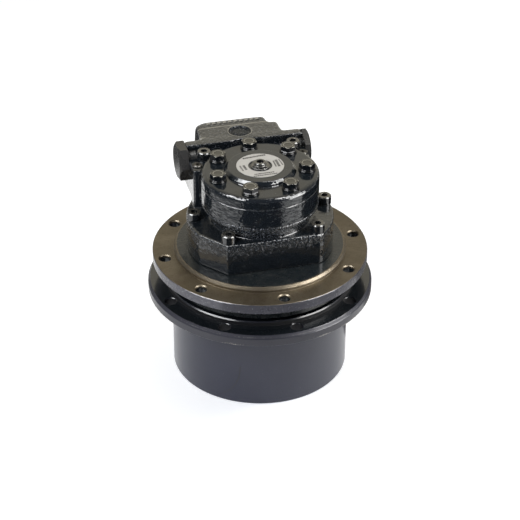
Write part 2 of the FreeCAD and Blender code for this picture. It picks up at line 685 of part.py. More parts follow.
pin1 = turned("pin_one_blank", [(0, 13.6), (7.9, 13.6), (8.5, 14.1), (8.5, 15.2), (6.0, 15.2), (6.0, 37.2), (5.2, S.carrier_high), (0, S.carrier_high)], 13.6)
copies("stage_one_pins", pin1, ring_places(S.planetone_distance.v, PHI1, 3))
washer1 = turned("washer_one_blank", [(6.1, 29.8), (12.0, 29.8), (12.0, 30.95), (6.1, 30.95)], 29.8)
copies("stage_one_thrust_washers", washer1, ring_places(S.planetone_distance.v, PHI1, 3))
planet1_wire = gear_wire("planet_one", S.planetone_teeth)
for k in range(3):
    a = PHI1 + 120.0 * k
    phi = math.radians(a)
    psi = phi + math.pi - math.pi / S.planetone_teeth.v + phi * S.sunone_teeth.v / S.planetone_teeth.v
    blank = gear_blank("planet_one_%d_blank" % (k + 1), planet1_wire, S.planetone_height)
    bore = cylinder("planet_one_%d_bore" % (k + 1), 9.65, 40.0, 0, 0, -10.0)
    g = cut("planet_one_%d_body" % (k + 1), blank, [bore])
    place(g, S.planetone_distance * math.cos(phi), S.planetone_distance * math.sin(phi), S.planetone_low, Rotation(Vector(0, 0, 1), math.degrees(psi)))
    node(g, "stage_one_planet_%d" % (k + 1))

bush1 = turned("bush_one_blank", [(6.0, 15.6), (9.6, 15.6), (9.6, 29.4), (6.0, 29.4)], 15.6)
copies("stage_one_bushes", bush1, ring_places(S.planetone_distance.v, PHI1, 3))

# first sun: a long pinion shaft that runs up through the second sun
sun1_wire = gear_wire("sun_one", S.sunone_teeth)
sun1_teeth = gear_blank("sun_one_teeth", sun1_wire, 14.8, 15.2)
sun1_core = turned("sun_one_core", [(0, 14.1), (8.0, 14.1), (9.0, 15.1), (9.0, 15.6), (8.0, 15.6), (8.0, 71.2), (0, 71.2)], 14.1)
spline1_wire = gear_wire("sun_shaft_spline", 12, 0.0, 1.25)
spline1 = gear_blank("sun_shaft_spline", spline1_wire, 26.5, 71.0)
node(fuse("sun_one_body", [sun1_teeth, sun1_core, spline1]), "stage_one_sun_shaft")

# motor shaft: splined socket below, bearing seat, rotary valve sleeve above
shaft_blank = turned("motor_shaft_blank", [
    (5.0, 66.0), (11.7, 66.0), (12.5, 66.8), (12.5, 95.2), (17.0, 97.2), (17.0, 138.0), (15.6, 138.0), (15.6, 142.0),
    (17.0, 142.0), (17.0, 148.0), (15.6, 148.0), (15.6, 152.0), (17.0, 152.0), (17.0, 165.6), (16.4, 166.2),
    (11.6, 166.2), (11.6, 128.0), (9.0, 126.0), (5.0, 126.0)], 66.0)
socket_wire = gear_wire("shaft_socket", 12, 0.06, 1.25, 0.05)
socket = gear_blank("shaft_socket", socket_wire, 38.0, 64.0)
relief = cylinder("shaft_socket_relief", 8.4, 7.6, 0, 0, 64.0)
deep = cylinder("shaft_socket_bore", 7.6, 40.0, 0, 0, 90.0)
slots = []
for k in range(6):
    sl = box("shaft_slot_%d" % k, 15.6, 18.0, -1.6, 1.6, 152.0 if k % 2 else 142.0, 161.0)
    sl.Placement = Placement(Vector(0, 0, 0), Rotation(Vector(0, 0, 1), 60.0 * k)).multiply(sl.Placement)
    slots.append(sl)
node(cut("motor_shaft_body", shaft_blank, [socket, relief, deep] + slots), "motor_shaft")

# shaft bearing (25 x 47 x 12) and its clip, shaft seal
sb_in = turned("shaft_race_inner_blank", [(12.5, 82.0), (15.6, 82.0), (15.6, 94.0), (12.5, 94.0)], 82.0)
sb_out = turned("shaft_race_outer_blank", [(20.4, 82.0), (23.5, 82.0), (23.5, 94.0), (20.4, 94.0)], 82.0)
node(cut("shaft_race_inner", sb_in, [torus("shaft_groove_inner", 18.0, 3.88, 88.0)]), "shaft_bearing_inner")
node(cut("shaft_race_outer", sb_out, [torus("shaft_groove_outer", 18.0, 3.88, 88.0)]), "shaft_bearing_outer")
small_ball = doc.addObject("Part::Sphere", "shaft_ball")
small_ball.Radius = 3.8
copies("shaft_bearing_balls", small_ball, ring_places(18.0, 10.0, 9, 88.0))
clip = turned("shaft_clip_blank", [(21.2, 94.1), (25.1, 94.1), (25.1, 95.5), (21.2, 95.5)], 94.1)
clip_gap = box("shaft_clip_gap", -3.0, 3.0, -30.0, -15.0, 90.0, 100.0)
node(cut("shaft_clip_body", clip, [clip_gap]), "shaft_bearing_clip")
node(turned("shaft_seal_body", [(19.98, 71.0), (19.98, 79.0), (18.6, 79.0), (18.6, 73.0), (14.6, 73.0), (12.9, 76.4), (12.55, 75.8), (13.4, 71.0)], 71.0), "shaft_seal")

# ---------------------------------------------------------------------------
# motor body casting: flange plate, lower stack section, valve block
# ---------------------------------------------------------------------------
plate_round = cylinder("plate_round", S.plate_radius, S.plate_high - S.pilot_high, 0, 0, S.pilot_high)
# plan outline: front flat, a long facet at its left end and a short one at its right end
plate_plan = padded("plate_plan", [(-42.2, -S.plate_flat), (43.6, -S.plate_flat), (81.2, -36.7), (81.2, 80.0), (-74.0, 80.0), (-74.0, -11.85)], 120.0, 165.0)
plate = common("plate_shape", [plate_round, plate_plan])
plate_soft = doc.addObject("Part::Fillet", "plate_soft")
plate_soft.Base = plate
doc.recompute()
ids = []
for i, e in enumerate(plate.Shape.Edges):
    b = e.BoundBox
    if b.ZLength > 20 and b.YMax < -40:
        ids.append((i + 1, 1.0, 1.0))
plate_soft.Edges = ids
doc.recompute()
plate_top = doc.addObject("Part::Fillet", "plate_top_round")
plate_top.Base = plate_soft
ids = []
for i, e in enumerate(plate_soft.Shape.Edges):
    b = e.BoundBox
    if abs(b.ZMin - S.plate_high.v) < 1e-3 and b.ZLength < 1e-3:
        ids.append((i + 1, 1.2, 1.2))
plate_top.Edges = ids
# lower stack section, tapering down to the plate with a small root fillet
pts = [(0, 150.0), (S.stack_foot_radius + 1.6, 150.0), (S.stack_foot_radius + 1.6, S.plate_high)]
for j in range(1, 5):
    t_ = math.pi / 2 * j / 4
    pts.append((S.stack_foot_radius + 1.6 - 1.4 * math.sin(t_), S.plate_high + 1.6 - 1.6 * math.cos(t_)))
pts += [(S.stack_radius - 0.6, S.stack_base_high - 4.0), (S.stack_radius, S.stack_base_high - 2.6), (S.stack_radius, S.stack_base_high - 0.5),
        (S.stack_radius - 0.5, S.stack_base_high), (0, S.stack_base_high)]
column = turned("stack_base", pts, 150.0)

# valve block: side columns with ledge, bar, slab, sloping rear strip
ears = padded("block_ears", [(-S.block_left, S.block_front), (S.block_right, S.block_front),
                             (S.block_right, S.bar_rear + 10), (-S.block_left, S.bar_rear + 10)], S.block_low, S.ledge_high)
foot_plan = padded("block_foot_plan", [(-S.block_left, S.block_front), (S.block_right, S.block_front),
                                       (S.block_right, S.slab_rear), (-S.block_left, S.slab_rear)], 150.0, S.block_low + 1)
foot_round = cylinder("block_foot_round", S.plate_radius - 0.6, 30.0, 0, 0, 145.0)
foot = common("block_foot", [foot_plan, foot_round])
bar = padded("block_bar", [(-S.block_left, S.bar_front), (S.block_right, S.bar_front),
                           (S.block_right, S.bar_rear), (-S.block_left, S.bar_rear)], S.ledge_high - 4, S.bar_high)
slab = padded("block_slab", [(-S.slab_left, S.bar_rear - 4), (S.slab_right, S.bar_rear - 4),
                             (S.slab_right, S.slab_rear), (-S.slab_left, S.slab_rear)], S.block_low, S.slab_high)
strip = padded("block_strip", [(-S.slab_left, S.slab_rear - 4), (S.strip_right, S.slab_rear - 4),
                               (S.strip_right, S.strip_rear), (-S.slab_left, S.strip_rear)], S.block_low, S.slab_high)
boss = cut("valve_boss", cylinder("valve_boss_round", 16.9, S.block_left + S.block_right, -S.block_left, S.valve_y, S.valve_z, ALONG_X),
           [box("valve_boss_trim", -70.0, 70.0, 20.0, S.bar_front + 0.5, S.ledge_high - 0.001, 220.0)])
# the strip's top falls towards the rear
wedge = doc.addObject("Part::Wedge", "strip_slope")
for prop, q in (("Xmin", 0), ("Xmax", 200), ("X2min", 0), ("X2max", 200), ("Ymin", 0), ("Ymax", 40), ("Zmin", 0), ("Zmax", 10), ("Z2min", 0), ("Z2max", 10)):
    setattr(wedge, prop, q)
slope = math.degrees(math.atan2(S.slab_high.v - S.strip_high.v, S.strip_rear.v - S.slab_rear.v))
wedge.Placement = Placement(Vector(-100, S.slab_rear.v, S.slab_high.v), Rotation(Vector(1, 0, 0), -slope))
upper = fuse("block_rough", [ears, bar, slab, strip, boss])
upper_cut = cut("block_sloped", upper, [wedge])
stack_room = cylinder("stack_room", S.stack_radius + 0.6, 60.0, 0, 0, S.stack_base_high)
block_open = cut("block_opened", upper_cut, [stack_room])
doc.recompute()


def soften(name, base, pick, radius):
    """Round a picked set of edges, each with its own radius."""
    doc.recompute()
    ids = []
    for i, e in enumerate(base.Shape.Edges):
        r = pick(e)
        if r:
            ids.append((i + 1, r, r))
    if not ids:
        raise RuntimeError("nothing to round in " + name)
    f = doc.addObject("Part::Fillet", name)
    f.Base = base
    f.Edges = ids
    doc.recompute()
    if "Invalid" in f.State or f.Shape.isNull() or not f.Shape.isValid():
        print("rounding left out:", name, f.State)
        doc.removeObject(name)
        return base
    return f


def upright(e, x, y, tol=0.6):
    b = e.BoundBox
    return b.XLength < 1e-3 and b.YLength < 1e-3 and abs(b.XMin - x) < tol and abs(b.YMin - y) < tol and b.ZLength > 3


def rear_corner(e):
    if upright(e, -S.slab_left.v, S.strip_rear.v):
        return 9.0
    if upright(e, S.strip_right.v, S.strip_rear.v):
        return 3.0
    if upright(e, S.slab_right.v, S.slab_rear.v):
        return 3.0
    if upright(e, -S.block_left.v, S.block_front.v) or upright(e, S.block_right.v, S.block_front.v):
        return 2.0
    if upright(e, -S.block_left.v, S.bar_rear.v + 10) or upright(e, S.block_right.v, S.bar_rear.v + 10):
        return 4.0
    return 0


block_soft = soften("block_corners", block_open, rear_corner, 0)

body_all = fuse("motor_body_rough", [plate_top, column, foot, block_soft])
tools = []
# shaft bore, link opening, seal groove at the foot
tools.append(cylinder("shaft_bore", 17.06, 40.4, 0, 0, 126.0))
tools.append(cylinder("link_opening", 13.0, 30.0, 0, 0, 160.0))
tools.append(cut("foot_groove", cylinder("foot_groove_out", 32.6, 2.3, 0, 0, S.pilot_high),
                 [cylinder("foot_groove_in", 29.4, 5.0, 0, 0, S.pilot_high - 1)]))
tools.append(cut("stack_groove", cylinder("stack_groove_out", 51.4, 2.0, 0, 0, S.stack_base_high - 1.9),
                 [cylinder("stack_groove_in", 49.2, 5.0, 0, 0, S.stack_base_high - 3)]))
# cover bolt threads
for k, p in enumerate(ring_places(S.bolt_circle_radius.v, 90.0, S.bolt_count.v)):
    tools.append(cylinder("bolt_tap_%d" % k, 4.0, 15.0, p.Base.x, p.Base.y, S.stack_base_high.v - 14.0))
# commutation drillings from the valve bore up to the roller chambers
for k, p in enumerate(ring_places(26.0, 90.0, 7)):
    tools.append(cylinder("comm_up_%d" % k, 2.0, 20.0, p.Base.x, p.Base.y, 155.0))
    d = cylinder("comm_in_%d" % k, 1.6, 12.3, 0, 0, 0, None)
    d.Placement = Placement(Vector(0, 0, 157.0), Rotation(Vector(0, 0, 1), 90.0 + 360.0 * k / 7)).multiply(Placement(Vector(14.0, 0, 0), ALONG_X))
    tools.append(d)
# body screws
for k, (px, py) in enumerate(FRONT_SCREWS):
    tools.append(cylinder("front_screw_way_%d" % k, 4.3, 40.0, px, py, 125.0))
for k, (px, py) in enumerate(REAR_SCREWS):
    tools.append(cylinder("rear_screw_way_%d" % k, 4.2, 90.0, px, py, 125.0))
# relief valve bores from both sides, with seat bores at their inner ends
LEFTWARD = Rotation(Vector(0, 1, 0), -90)
for word, sign, turn_ in (("left", -1, LEFTWARD), ("right", 1, ALONG_X)):
    tools.append(cylinder("valve_bore_" + word, S.poppet_radius + 0.03, 40.0, sign * S.poppet_seat, S.valve_y, S.valve_z, turn_))
    tools.append(cylinder("valve_seat_" + word, 3.2, 12.0, sign * 16.8, S.valve_y, S.valve_z, turn_))
    tools.append(cylinder("valve_thread_" + word, 12.0, 12.0, sign * S.plug_inner, S.valve_y, S.valve_z, turn_))
# work ports and drain port in the rear face
PORTS = (("port_a", -20.0, 185.0, S.work_port_radius, 16.0), ("port_b", 12.0, 185.0, S.work_port_radius, 16.0),
         ("port_drain", -8.0, 169.5, S.drain_port_radius, 12.0))
for nm, px, pz, r, deep_ in PORTS:
    tools.append(cylinder(nm + "_mouth", r, deep_, px, S.strip_rear - deep_, pz, ALONG_Y))
tools.append(cylinder("port_a_way", 4.5, 44.0, -16.0, S.valve_y, 185.0, ALONG_Y))
tools.append(cylinder("port_b_way", 4.4, 44.0, 13.0, S.valve_y, 185.0, ALONG_Y))
tools.append(cylinder("port_drain_way", 2.0, 85.0, -8.0, 14.0, 169.5, ALONG_Y))
# galleries from the port ways down to the valve bore, closed by small plugs
GALLERIES = ((-13.0, 140.0), (12.0, 150.0))
for k, (px, pz) in enumerate(GALLERIES):
    tools.append(cylinder("gallery_down_%d" % k, 2.5, 185.0 - pz, px, 63.4, pz, None))
    tools.append(cylinder("gallery_across_%d" % k, 3.0, 80.0, px, 8.0, pz, ALONG_Y))
    tools.append(cylinder("gallery_seat_%d" % k, 4.4, 30.0, px, 64.6, pz, ALONG_Y))
# ledge plugs (pressed screws closing drillings)
LEDGE_PLUGS = [(-51.2, 32.0), (49.2, 32.8)]
for k, (px, py) in enumerate(LEDGE_PLUGS):
    tools.append(cylinder("ledge_hole_%d" % k, 3.2, 12.0, px, py, S.ledge_high - 8))
# one cut per family of openings, in the order they would be machined
families = (("bores", ("shaft_bore", "link_opening", "foot_groove", "stack_groove")), ("bolts", ("bolt_tap",)),
            ("commutation", ("comm_",)), ("screws", ("front_screw", "rear_screw")),
            ("valves", ("valve_bore_", "valve_seat_", "valve_thread_")), ("ports", ("port_",)),
            ("galleries", ("gallery_",)), ("ledge", ("ledge_hole",)))
motor_body = body_all
for word, starts in families:
    motor_body = cut("motor_body_" + word, motor_body, [o for o in tools if o.Name.startswith(starts)])
node(motor_body, "motor_body")

copies("gallery_plugs", turned("gallery_plug_blank", [(0, 0), (4.35, 0), (4.35, 1.6), (3.6, 2.0), (2.0, 2.0), (2.0, 0.8), (0, 0.8)]),
       [Placement(Vector(px, 64.6, pz), ALONG_Y) for px, pz in GALLERIES])
lp = turned("ledge_plug_blank", [(0, 0), (3.15, 0), (3.15, 8.0), (4.6, 8.0), (4.6, 8.8), (3.6, 9.6), (0, 9.6)])
lp_hex = prism("ledge_plug_hex", 3.0, 3.0, 0, 0, 7.2)
lp_master = cut("ledge_plug_master", lp, [lp_hex])
copies("ledge_plugs", lp_master, [Placement(Vector(px, py, S.ledge_high.v - 8.0), Rotation()) for px, py in LEDGE_PLUGS])
node(torus("foot_o_ring_body", 31.0, 1.12, 127.0 + 1.15), "body_o_ring")

# socket screws
def socket_screw(name, shank_len):
    prof = turned(name + "_blank", [(0, -Size.of(shank_len)), (3.2, -Size.of(shank_len)), (4.0, -Size.of(shank_len) + 0.8), (4.0, 0), (6.5, 0),
                                    (6.5, 7.2), (5.7, 8.0), (0, 8.0)])
    hexa = prism(name + "_hex", 6.0, 5.0, 0, 0, 4.2)
    return cut(name, prof, [hexa])


short_screw = socket_screw("short_screw", 44.0)
copies("body_screws", short_screw, [Placement(Vector(px, py, S.plate_high.v), Rotation(Vector(0, 0, 1), 17.0 * i)) for i, (px, py) in enumerate(FRONT_SCREWS)])
long_screw = socket_screw("long_screw", 85.0)
copies("body_screws_long", long_screw, [Placement(Vector(px, py, S.ledge_high.v), Rotation(Vector(0, 0, 1), 23.0 * i + 8)) for i, (px, py) in enumerate(REAR_SCREWS)])

# ---------------------------------------------------------------------------
# roller-gear set
# ---------------------------------------------------------------------------
RING_H = S.rotor_ring_high - S.stack_base_high
gr = turned("roller_ring_blank", [(S.roller_circle_radius + 0.3, S.stack_base_high), (S.stack_radius - 0.5, S.stack_base_high),
                                  (S.stack_radius, S.stack_base_high + 0.5), (S.stack_radius, S.rotor_ring_high - 0.5),
                                  (S.stack_radius - 0.5, S.rotor_ring_high), (S.roller_circle_radius + 0.3, S.rotor_ring_high)], S.stack_base_high)
hole_ring(gr, "roller_ring_bolts", 4.2, S.bolt_circle_radius, 90.0, S.bolt_count, S.rotor_ring_high, RING_H, S.stack_base_high)
FIRST_ROLLER = 90.0 + 180.0 / 7
hole_ring(gr, "roller_pockets", S.roller_radius + 0.03, S.roller_circle_radius, FIRST_ROLLER, 7, S.rotor_ring_high, RING_H, S.stack_base_high)
node(gr, "roller_ring")
roller = turned("roller_blank", [(0, 0), (S.roller_radius - 0.4, 0), (S.roller_radius, 0.4), (S.roller_radius, RING_H - 0.5),
                                 (S.roller_radius - 0.4, RING_H - 0.1), (0, RING_H - 0.1)])
copies("rollers", roller, ring_places(S.roller_circle_radius.v, FIRST_ROLLER, 7, S.stack_base_high.v + 0.05))


def rotor_outline():
    """Six-lobed rotor that touches all seven rollers."""
    n, R, rr, E = 7, S.roller_circle_radius.v, S.roller_radius.v + 0.05, S.rotor_offset.v
    pts = []
    steps = 6 * 24
    for i in range(steps):
        t = 2 * math.pi * i / steps
        psi = math.atan2(math.sin((1 - n) * t), (R / (E * n)) - math.cos((1 - n) * t))
        pts.append(Vector(R * math.cos(t) - rr * math.cos(t + psi) - E * math.cos(n * t),
                          -R * math.sin(t) + rr * math.sin(t + psi) + E * math.sin(n * t), 0))
    c = Part.BSplineCurve()
    c.interpolate(Points=pts, PeriodicFlag=True)
    return Part.Face(Part.Wire([c.toShape()]))


rotor_wire = doc.addObject("Part::Feature", "rotor_outline")
rotor_wire.Shape = rotor_outline()
rotor_blank = gear_blank("rotor_blank", rotor_wire, RING_H - 0.1)
rotor_spline_wire = gear_wire("rotor_spline", 12, 0.1, 1.5, 0.1)
rotor_spline = gear_blank("rotor_spline", rotor_spline_wire, 40.0, -10.0)
rotor = cut("rotor_body", rotor_blank, [rotor_spline])
ax = math.radians(FIRST_ROLLER)
place(rotor, S.rotor_offset * math.cos(ax), S.rotor_offset * math.sin(ax), S.stack_base_high + 0.05, Rotation(Vector(0, 0, 1), FIRST_ROLLER))
node(rotor, "rotor")

# drive link: crowned head in the shaft, splined head in the rotor
link_head_wire = gear_wire("link_head", 12, -0.62, 1.5, -0.42)
link_head = gear_blank("link_head", link_head_wire, 8.0, 42.0)
link_rod = turned("link_rod", [(0, 0), (7.6, 0), (9.2, 2.2), (9.8, 5.0), (9.2, 7.8), (7.0, 10.4), (6.2, 12.0), (6.0, 37.0), (6.9, 41.0),
                               (6.9, 50.5), (6.2, 51.5), (0, 51.5)])
link = fuse("drive_link_body", [link_rod, link_head])
tilt = math.degrees(math.asin(S.rotor_offset.v / 41.0))
link.Placement = Placement(Vector(0, 0, 0), Rotation(Vector(0, 0, 1), FIRST_ROLLER)).multiply(
    Placement(Vector(0, 0, 135.0), Rotation(Vector(0, 1, 0), tilt))).multiply(Placement(Vector(0, 0, -5.0), Rotation()))
node(link, "drive_link")

# ---------------------------------------------------------------------------
# end cover plate of the motor
# ---------------------------------------------------------------------------
cr = S.cover_round
pts = [(0, S.rotor_ring_high), (49.2, S.rotor_ring_high), (49.2, S.rotor_ring_high + 1.9), (51.4, S.rotor_ring_high + 1.9), (51.4, S.rotor_ring_high),
       (S.stack_radius - 0.5, S.rotor_ring_high), (S.stack_radius, S.rotor_ring_high + 0.5), (S.stack_radius, S.cover_high - cr)]
for j in range(1, 7):
    t_ = math.pi / 2 * j / 6
    pts.append((S.stack_radius - cr + cr * math.cos(t_), S.cover_high - cr + cr * math.sin(t_)))
pts += [(S.disc_base_radius + 0.6, S.cover_high), (S.disc_base_radius, S.cover_high + 0.5), (S.disc_base_radius - 0.35, S.disc_high - 2.7), (S.disc_radius, S.disc_high - 0.25), (S.disc_radius - 0.4, S.disc_high),
        (S.label_inner - 0.6, S.disc_high), (S.label_inner - 0.9, S.disc_high - 0.8), (5.0, S.disc_high - 0.8), (5.0, S.disc_high - 8), (0, S.disc_high - 8)]
cover = turned("motor_cover_body", pts, S.rotor_ring_high)
hole_ring(cover, "cover_bolt_holes", 4.2, S.bolt_circle_radius, 90.0, S.bolt_count, S.cover_high, S.cover_high - S.rotor_ring_high, S.rotor_ring_high)
node(cover, "motor_cover")
copies("stack_o_rings", torus("stack_ring_master", 50.3, 0.93, 0.0),
       [Placement(Vector(0, 0, S.stack_base_high.v - 0.95), Rotation()), Placement(Vector(0, 0, S.rotor_ring_high.v + 0.95), Rotation())])
node(turned("cover_label_body", [(S.label_inner, S.disc_high), (S.label_outer, S.disc_high), (S.label_outer, S.disc_high + 0.3), (S.label_inner, S.disc_high + 0.3)], S.disc_high), "cover_label")

# hex bolts with sealing washers
washer = turned("bolt_washer_blank", [(4.15, 0), (8.1, 0), (8.1, 1.3), (7.8, 1.6), (4.15, 1.6)])
copies("cover_washers", washer, ring_places(S.bolt_circle_radius.v, 90.0, S.bolt_count.v, S.cover_high.v))
head_round = turned("bolt_head_round", [(0, 1.6), (6.3, 1.6), (6.3, 2.2), (7.9, 2.2), (7.9, 6.6), (6.2, 7.7), (0, 7.7)])
head_hex = prism("bolt_head_hex", 13.0, 8.0, 0, 0, 0.6)
head = common("bolt_head", [head_round, head_hex])
shank = turned("bolt_shank", [(0, -42.0), (3.2, -42.0), (4.0, -41.2), (4.0, 2.0), (0, 2.0)])
dish = turned("bolt_dish", [(0, 7.3), (4.3, 7.3), (4.9, 7.9), (0, 7.9)])
bolt = cut("cover_bolt_master", fuse("cover_bolt_whole", [head, shank]), [dish])
TURNS = (4.0, 33.0, 15.0, 52.0, 27.0, 9.0, 41.0)
copies("cover_bolts", bolt, [Placement(p.Base, Rotation(Vector(0, 0, 1), TURNS[i])) for i, p in enumerate(ring_places(S.bolt_circle_radius.v, 90.0, S.bolt_count.v, S.cover_high.v))])

# centre plug of the cover: hexagon, round cap and a small socket
cp_round = turned("centre_plug_blank", [(0, 0), (4.9, 0), (4.9, 7.0), (8.4, 7.0), (8.4, 8.0), (6.9, 8.1), (6.9, 9.3), (5.8, 9.9), (5.6, 11.6), (4.9, 12.2), (0, 12.2)])
cp_hex = prism("centre_plug_hex", 14.0, 1.9, 0, 0, 7.9, None, 12.0)
cp_socket = cylinder("centre_plug_socket", 3.3, 6.0, 0, 0, 8.8)
cp = cut("centre_plug_body", fuse("centre_plug_whole", [cp_round, cp_hex]), [cp_socket])
place(cp, 0, 0, S.disc_high - 7.8)
node(cp, "centre_plug")

# ---------------------------------------------------------------------------
# relief valves: poppet, spring and hexagon plug on each side
# ---------------------------------------------------------------------------
def coil(length, mean_r, wire_r, turns):
    """A compression spring along +Z."""
    helix = Part.makeHelix((length - 2 * wire_r) / turns, length - 2 * wire_r, mean_r)
    prof = Part.Wire([Part.Circle(Vector(mean_r, 0, 0), Vector(0, 1, 0), wire_r).toShape()])
    pipe = Part.Wire(helix).makePipeShell([prof], True, True)
    pipe.translate(Vector(0, 0, wire_r))
    return pipe


pr = S.poppet_radius
for word, sign, x_end, wall, turn, rot in (("left", -1, 66.0, S.block_left, 30.0, LEFTWARD), ("right", 1, 60.0, S.block_right, 58.0, ALONG_X)):
    pop = turned("poppet_%s_body" % word, [
        (0, 0.6), (2.6, 0.6), (pr - 0.4, 4.6), (pr, 5.0), (pr, 7.0), (pr - 0.5, 7.4), (pr - 0.5, 8.2), (pr, 8.6), (pr, 13.0), (4.7, 13.0), (4.7, 5.6), (0, 5.6)])
    place(pop, sign * S.poppet_seat, S.valve_y, S.valve_z, rot)
    node(pop, "relief_poppet_" + word)
    x0 = S.poppet_seat + 6.5
    sx = feature("relief_spring_%s_body" % word, coil(S.plug_inner.v - x0.v - 0.5, 3.7, 0.62, 5.5), sign * x0, S.valve_y, S.valve_z, rot)
    node(sx, "relief_spring_" + word)
    length = Size.of(x_end) - wall
    inside = wall - S.plug_inner
    prof = turned("valve_plug_%s_round" % word, [(0, -inside), (11.2, -inside), (11.9, -inside + 0.7), (11.9, -3.0), (10.2, -3.0), (10.2, -0.8), (11.9, -0.8), (11.9, 0), (17.9, 0),
                                                  (18.6, 0.8), (18.6, length - 2.0), (15.4, length), (0, length)])
    hexa = prism("valve_plug_%s_hex" % word, 32.0, length, 0, 0, 0, None, turn)
    stub = cylinder("valve_plug_%s_stub" % word, 12.5, inside + 0.2, 0, 0, -inside - 0.1)
    solid = common("valve_plug_%s_body" % word, [prof, fuse("valve_plug_%s_hull" % word, [hexa, stub])])
    place(solid, sign * wall, S.valve_y, S.valve_z, rot)
    node(solid, "valve_plug_" + word)
o1 = torus("valve_o_ring_master", 11.05, 0.84, 0.0)
copies("valve_plug_o_rings", o1, [Placement(Vector(-S.block_left.v + 1.9, S.valve_y.v, S.valve_z.v), ALONG_X),
                                  Placement(Vector(S.block_right.v - 1.9, S.valve_y.v, S.valve_z.v), ALONG_X)])

# ---------------------------------------------------------------------------
# check and write
# ---------------------------------------------------------------------------
doc.recompute()
bad = []
for o in doc.Objects:
    st = " ".join(o.State)
    if "Invalid" in st or "Error" in st:
        bad.append("%s (%s): %s" % (o.Name, o.Label, st))
for label, o in WRITTEN:
    sh = o.Shape
    if sh.isNull() or not sh.isValid() or not sh.Solids:
        bad.append("%s: no valid solid" % label)
labels = [l for l, o in WRITTEN]
if len(set(labels)) != len(labels):
    bad.append("two sub-parts share a label")
if bad:
    for b in bad:
        print("PROBLEM", b)
    raise SystemExit("the document has faults; nothing was written")

total = 0.0
for label, o in WRITTEN:
    o.Shape.exportStep("parts/%s.step" % label)
    b = o.Shape.BoundBox
    total += o.Shape.Volume
    print("%-28s solids %2d  vol %10.1f  x %.2f..%.2f y %.2f..%.2f z %.2f..%.2f" % (
        label, len(o.Shape.Solids), o.Shape.Volume, b.XMin, b.XMax, b.YMin, b.YMax, b.ZMin, b.ZMax))
print(len(WRITTEN), "sub-parts, total volume %.0f mm3" % total)
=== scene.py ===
import json
import math

import bmesh
import bpy
import numpy as np
from mathutils import Matrix, Vector, noise


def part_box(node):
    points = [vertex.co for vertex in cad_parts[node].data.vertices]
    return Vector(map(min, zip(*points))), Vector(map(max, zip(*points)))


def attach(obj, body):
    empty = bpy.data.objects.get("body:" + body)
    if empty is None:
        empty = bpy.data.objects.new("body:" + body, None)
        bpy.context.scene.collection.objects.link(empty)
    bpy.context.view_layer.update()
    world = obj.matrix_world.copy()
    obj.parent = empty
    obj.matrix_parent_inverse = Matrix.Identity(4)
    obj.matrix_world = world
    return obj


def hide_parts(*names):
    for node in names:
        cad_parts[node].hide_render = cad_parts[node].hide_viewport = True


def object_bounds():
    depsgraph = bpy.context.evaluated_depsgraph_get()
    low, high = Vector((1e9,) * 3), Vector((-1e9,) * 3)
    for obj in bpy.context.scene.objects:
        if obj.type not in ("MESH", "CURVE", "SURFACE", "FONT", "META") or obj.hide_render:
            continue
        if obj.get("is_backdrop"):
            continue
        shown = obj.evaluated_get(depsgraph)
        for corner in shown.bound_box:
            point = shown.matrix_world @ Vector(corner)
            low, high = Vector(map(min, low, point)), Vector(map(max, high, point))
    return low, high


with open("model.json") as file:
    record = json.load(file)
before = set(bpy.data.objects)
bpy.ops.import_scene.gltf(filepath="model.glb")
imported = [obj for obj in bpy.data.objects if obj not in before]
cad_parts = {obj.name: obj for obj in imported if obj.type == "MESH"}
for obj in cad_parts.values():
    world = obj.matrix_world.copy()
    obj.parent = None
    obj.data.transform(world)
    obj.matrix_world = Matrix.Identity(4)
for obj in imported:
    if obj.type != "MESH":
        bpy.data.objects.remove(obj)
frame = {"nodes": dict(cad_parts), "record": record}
NODES = frame["nodes"]


def plain(box):
    """A box as plain lists of numbers."""
    try:
        return [[float(v) for v in c] for c in box]
    except TypeError:
        return [float(v) for v in box]


cad_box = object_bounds()

# ------------------------------------------------------------------ shader graphs


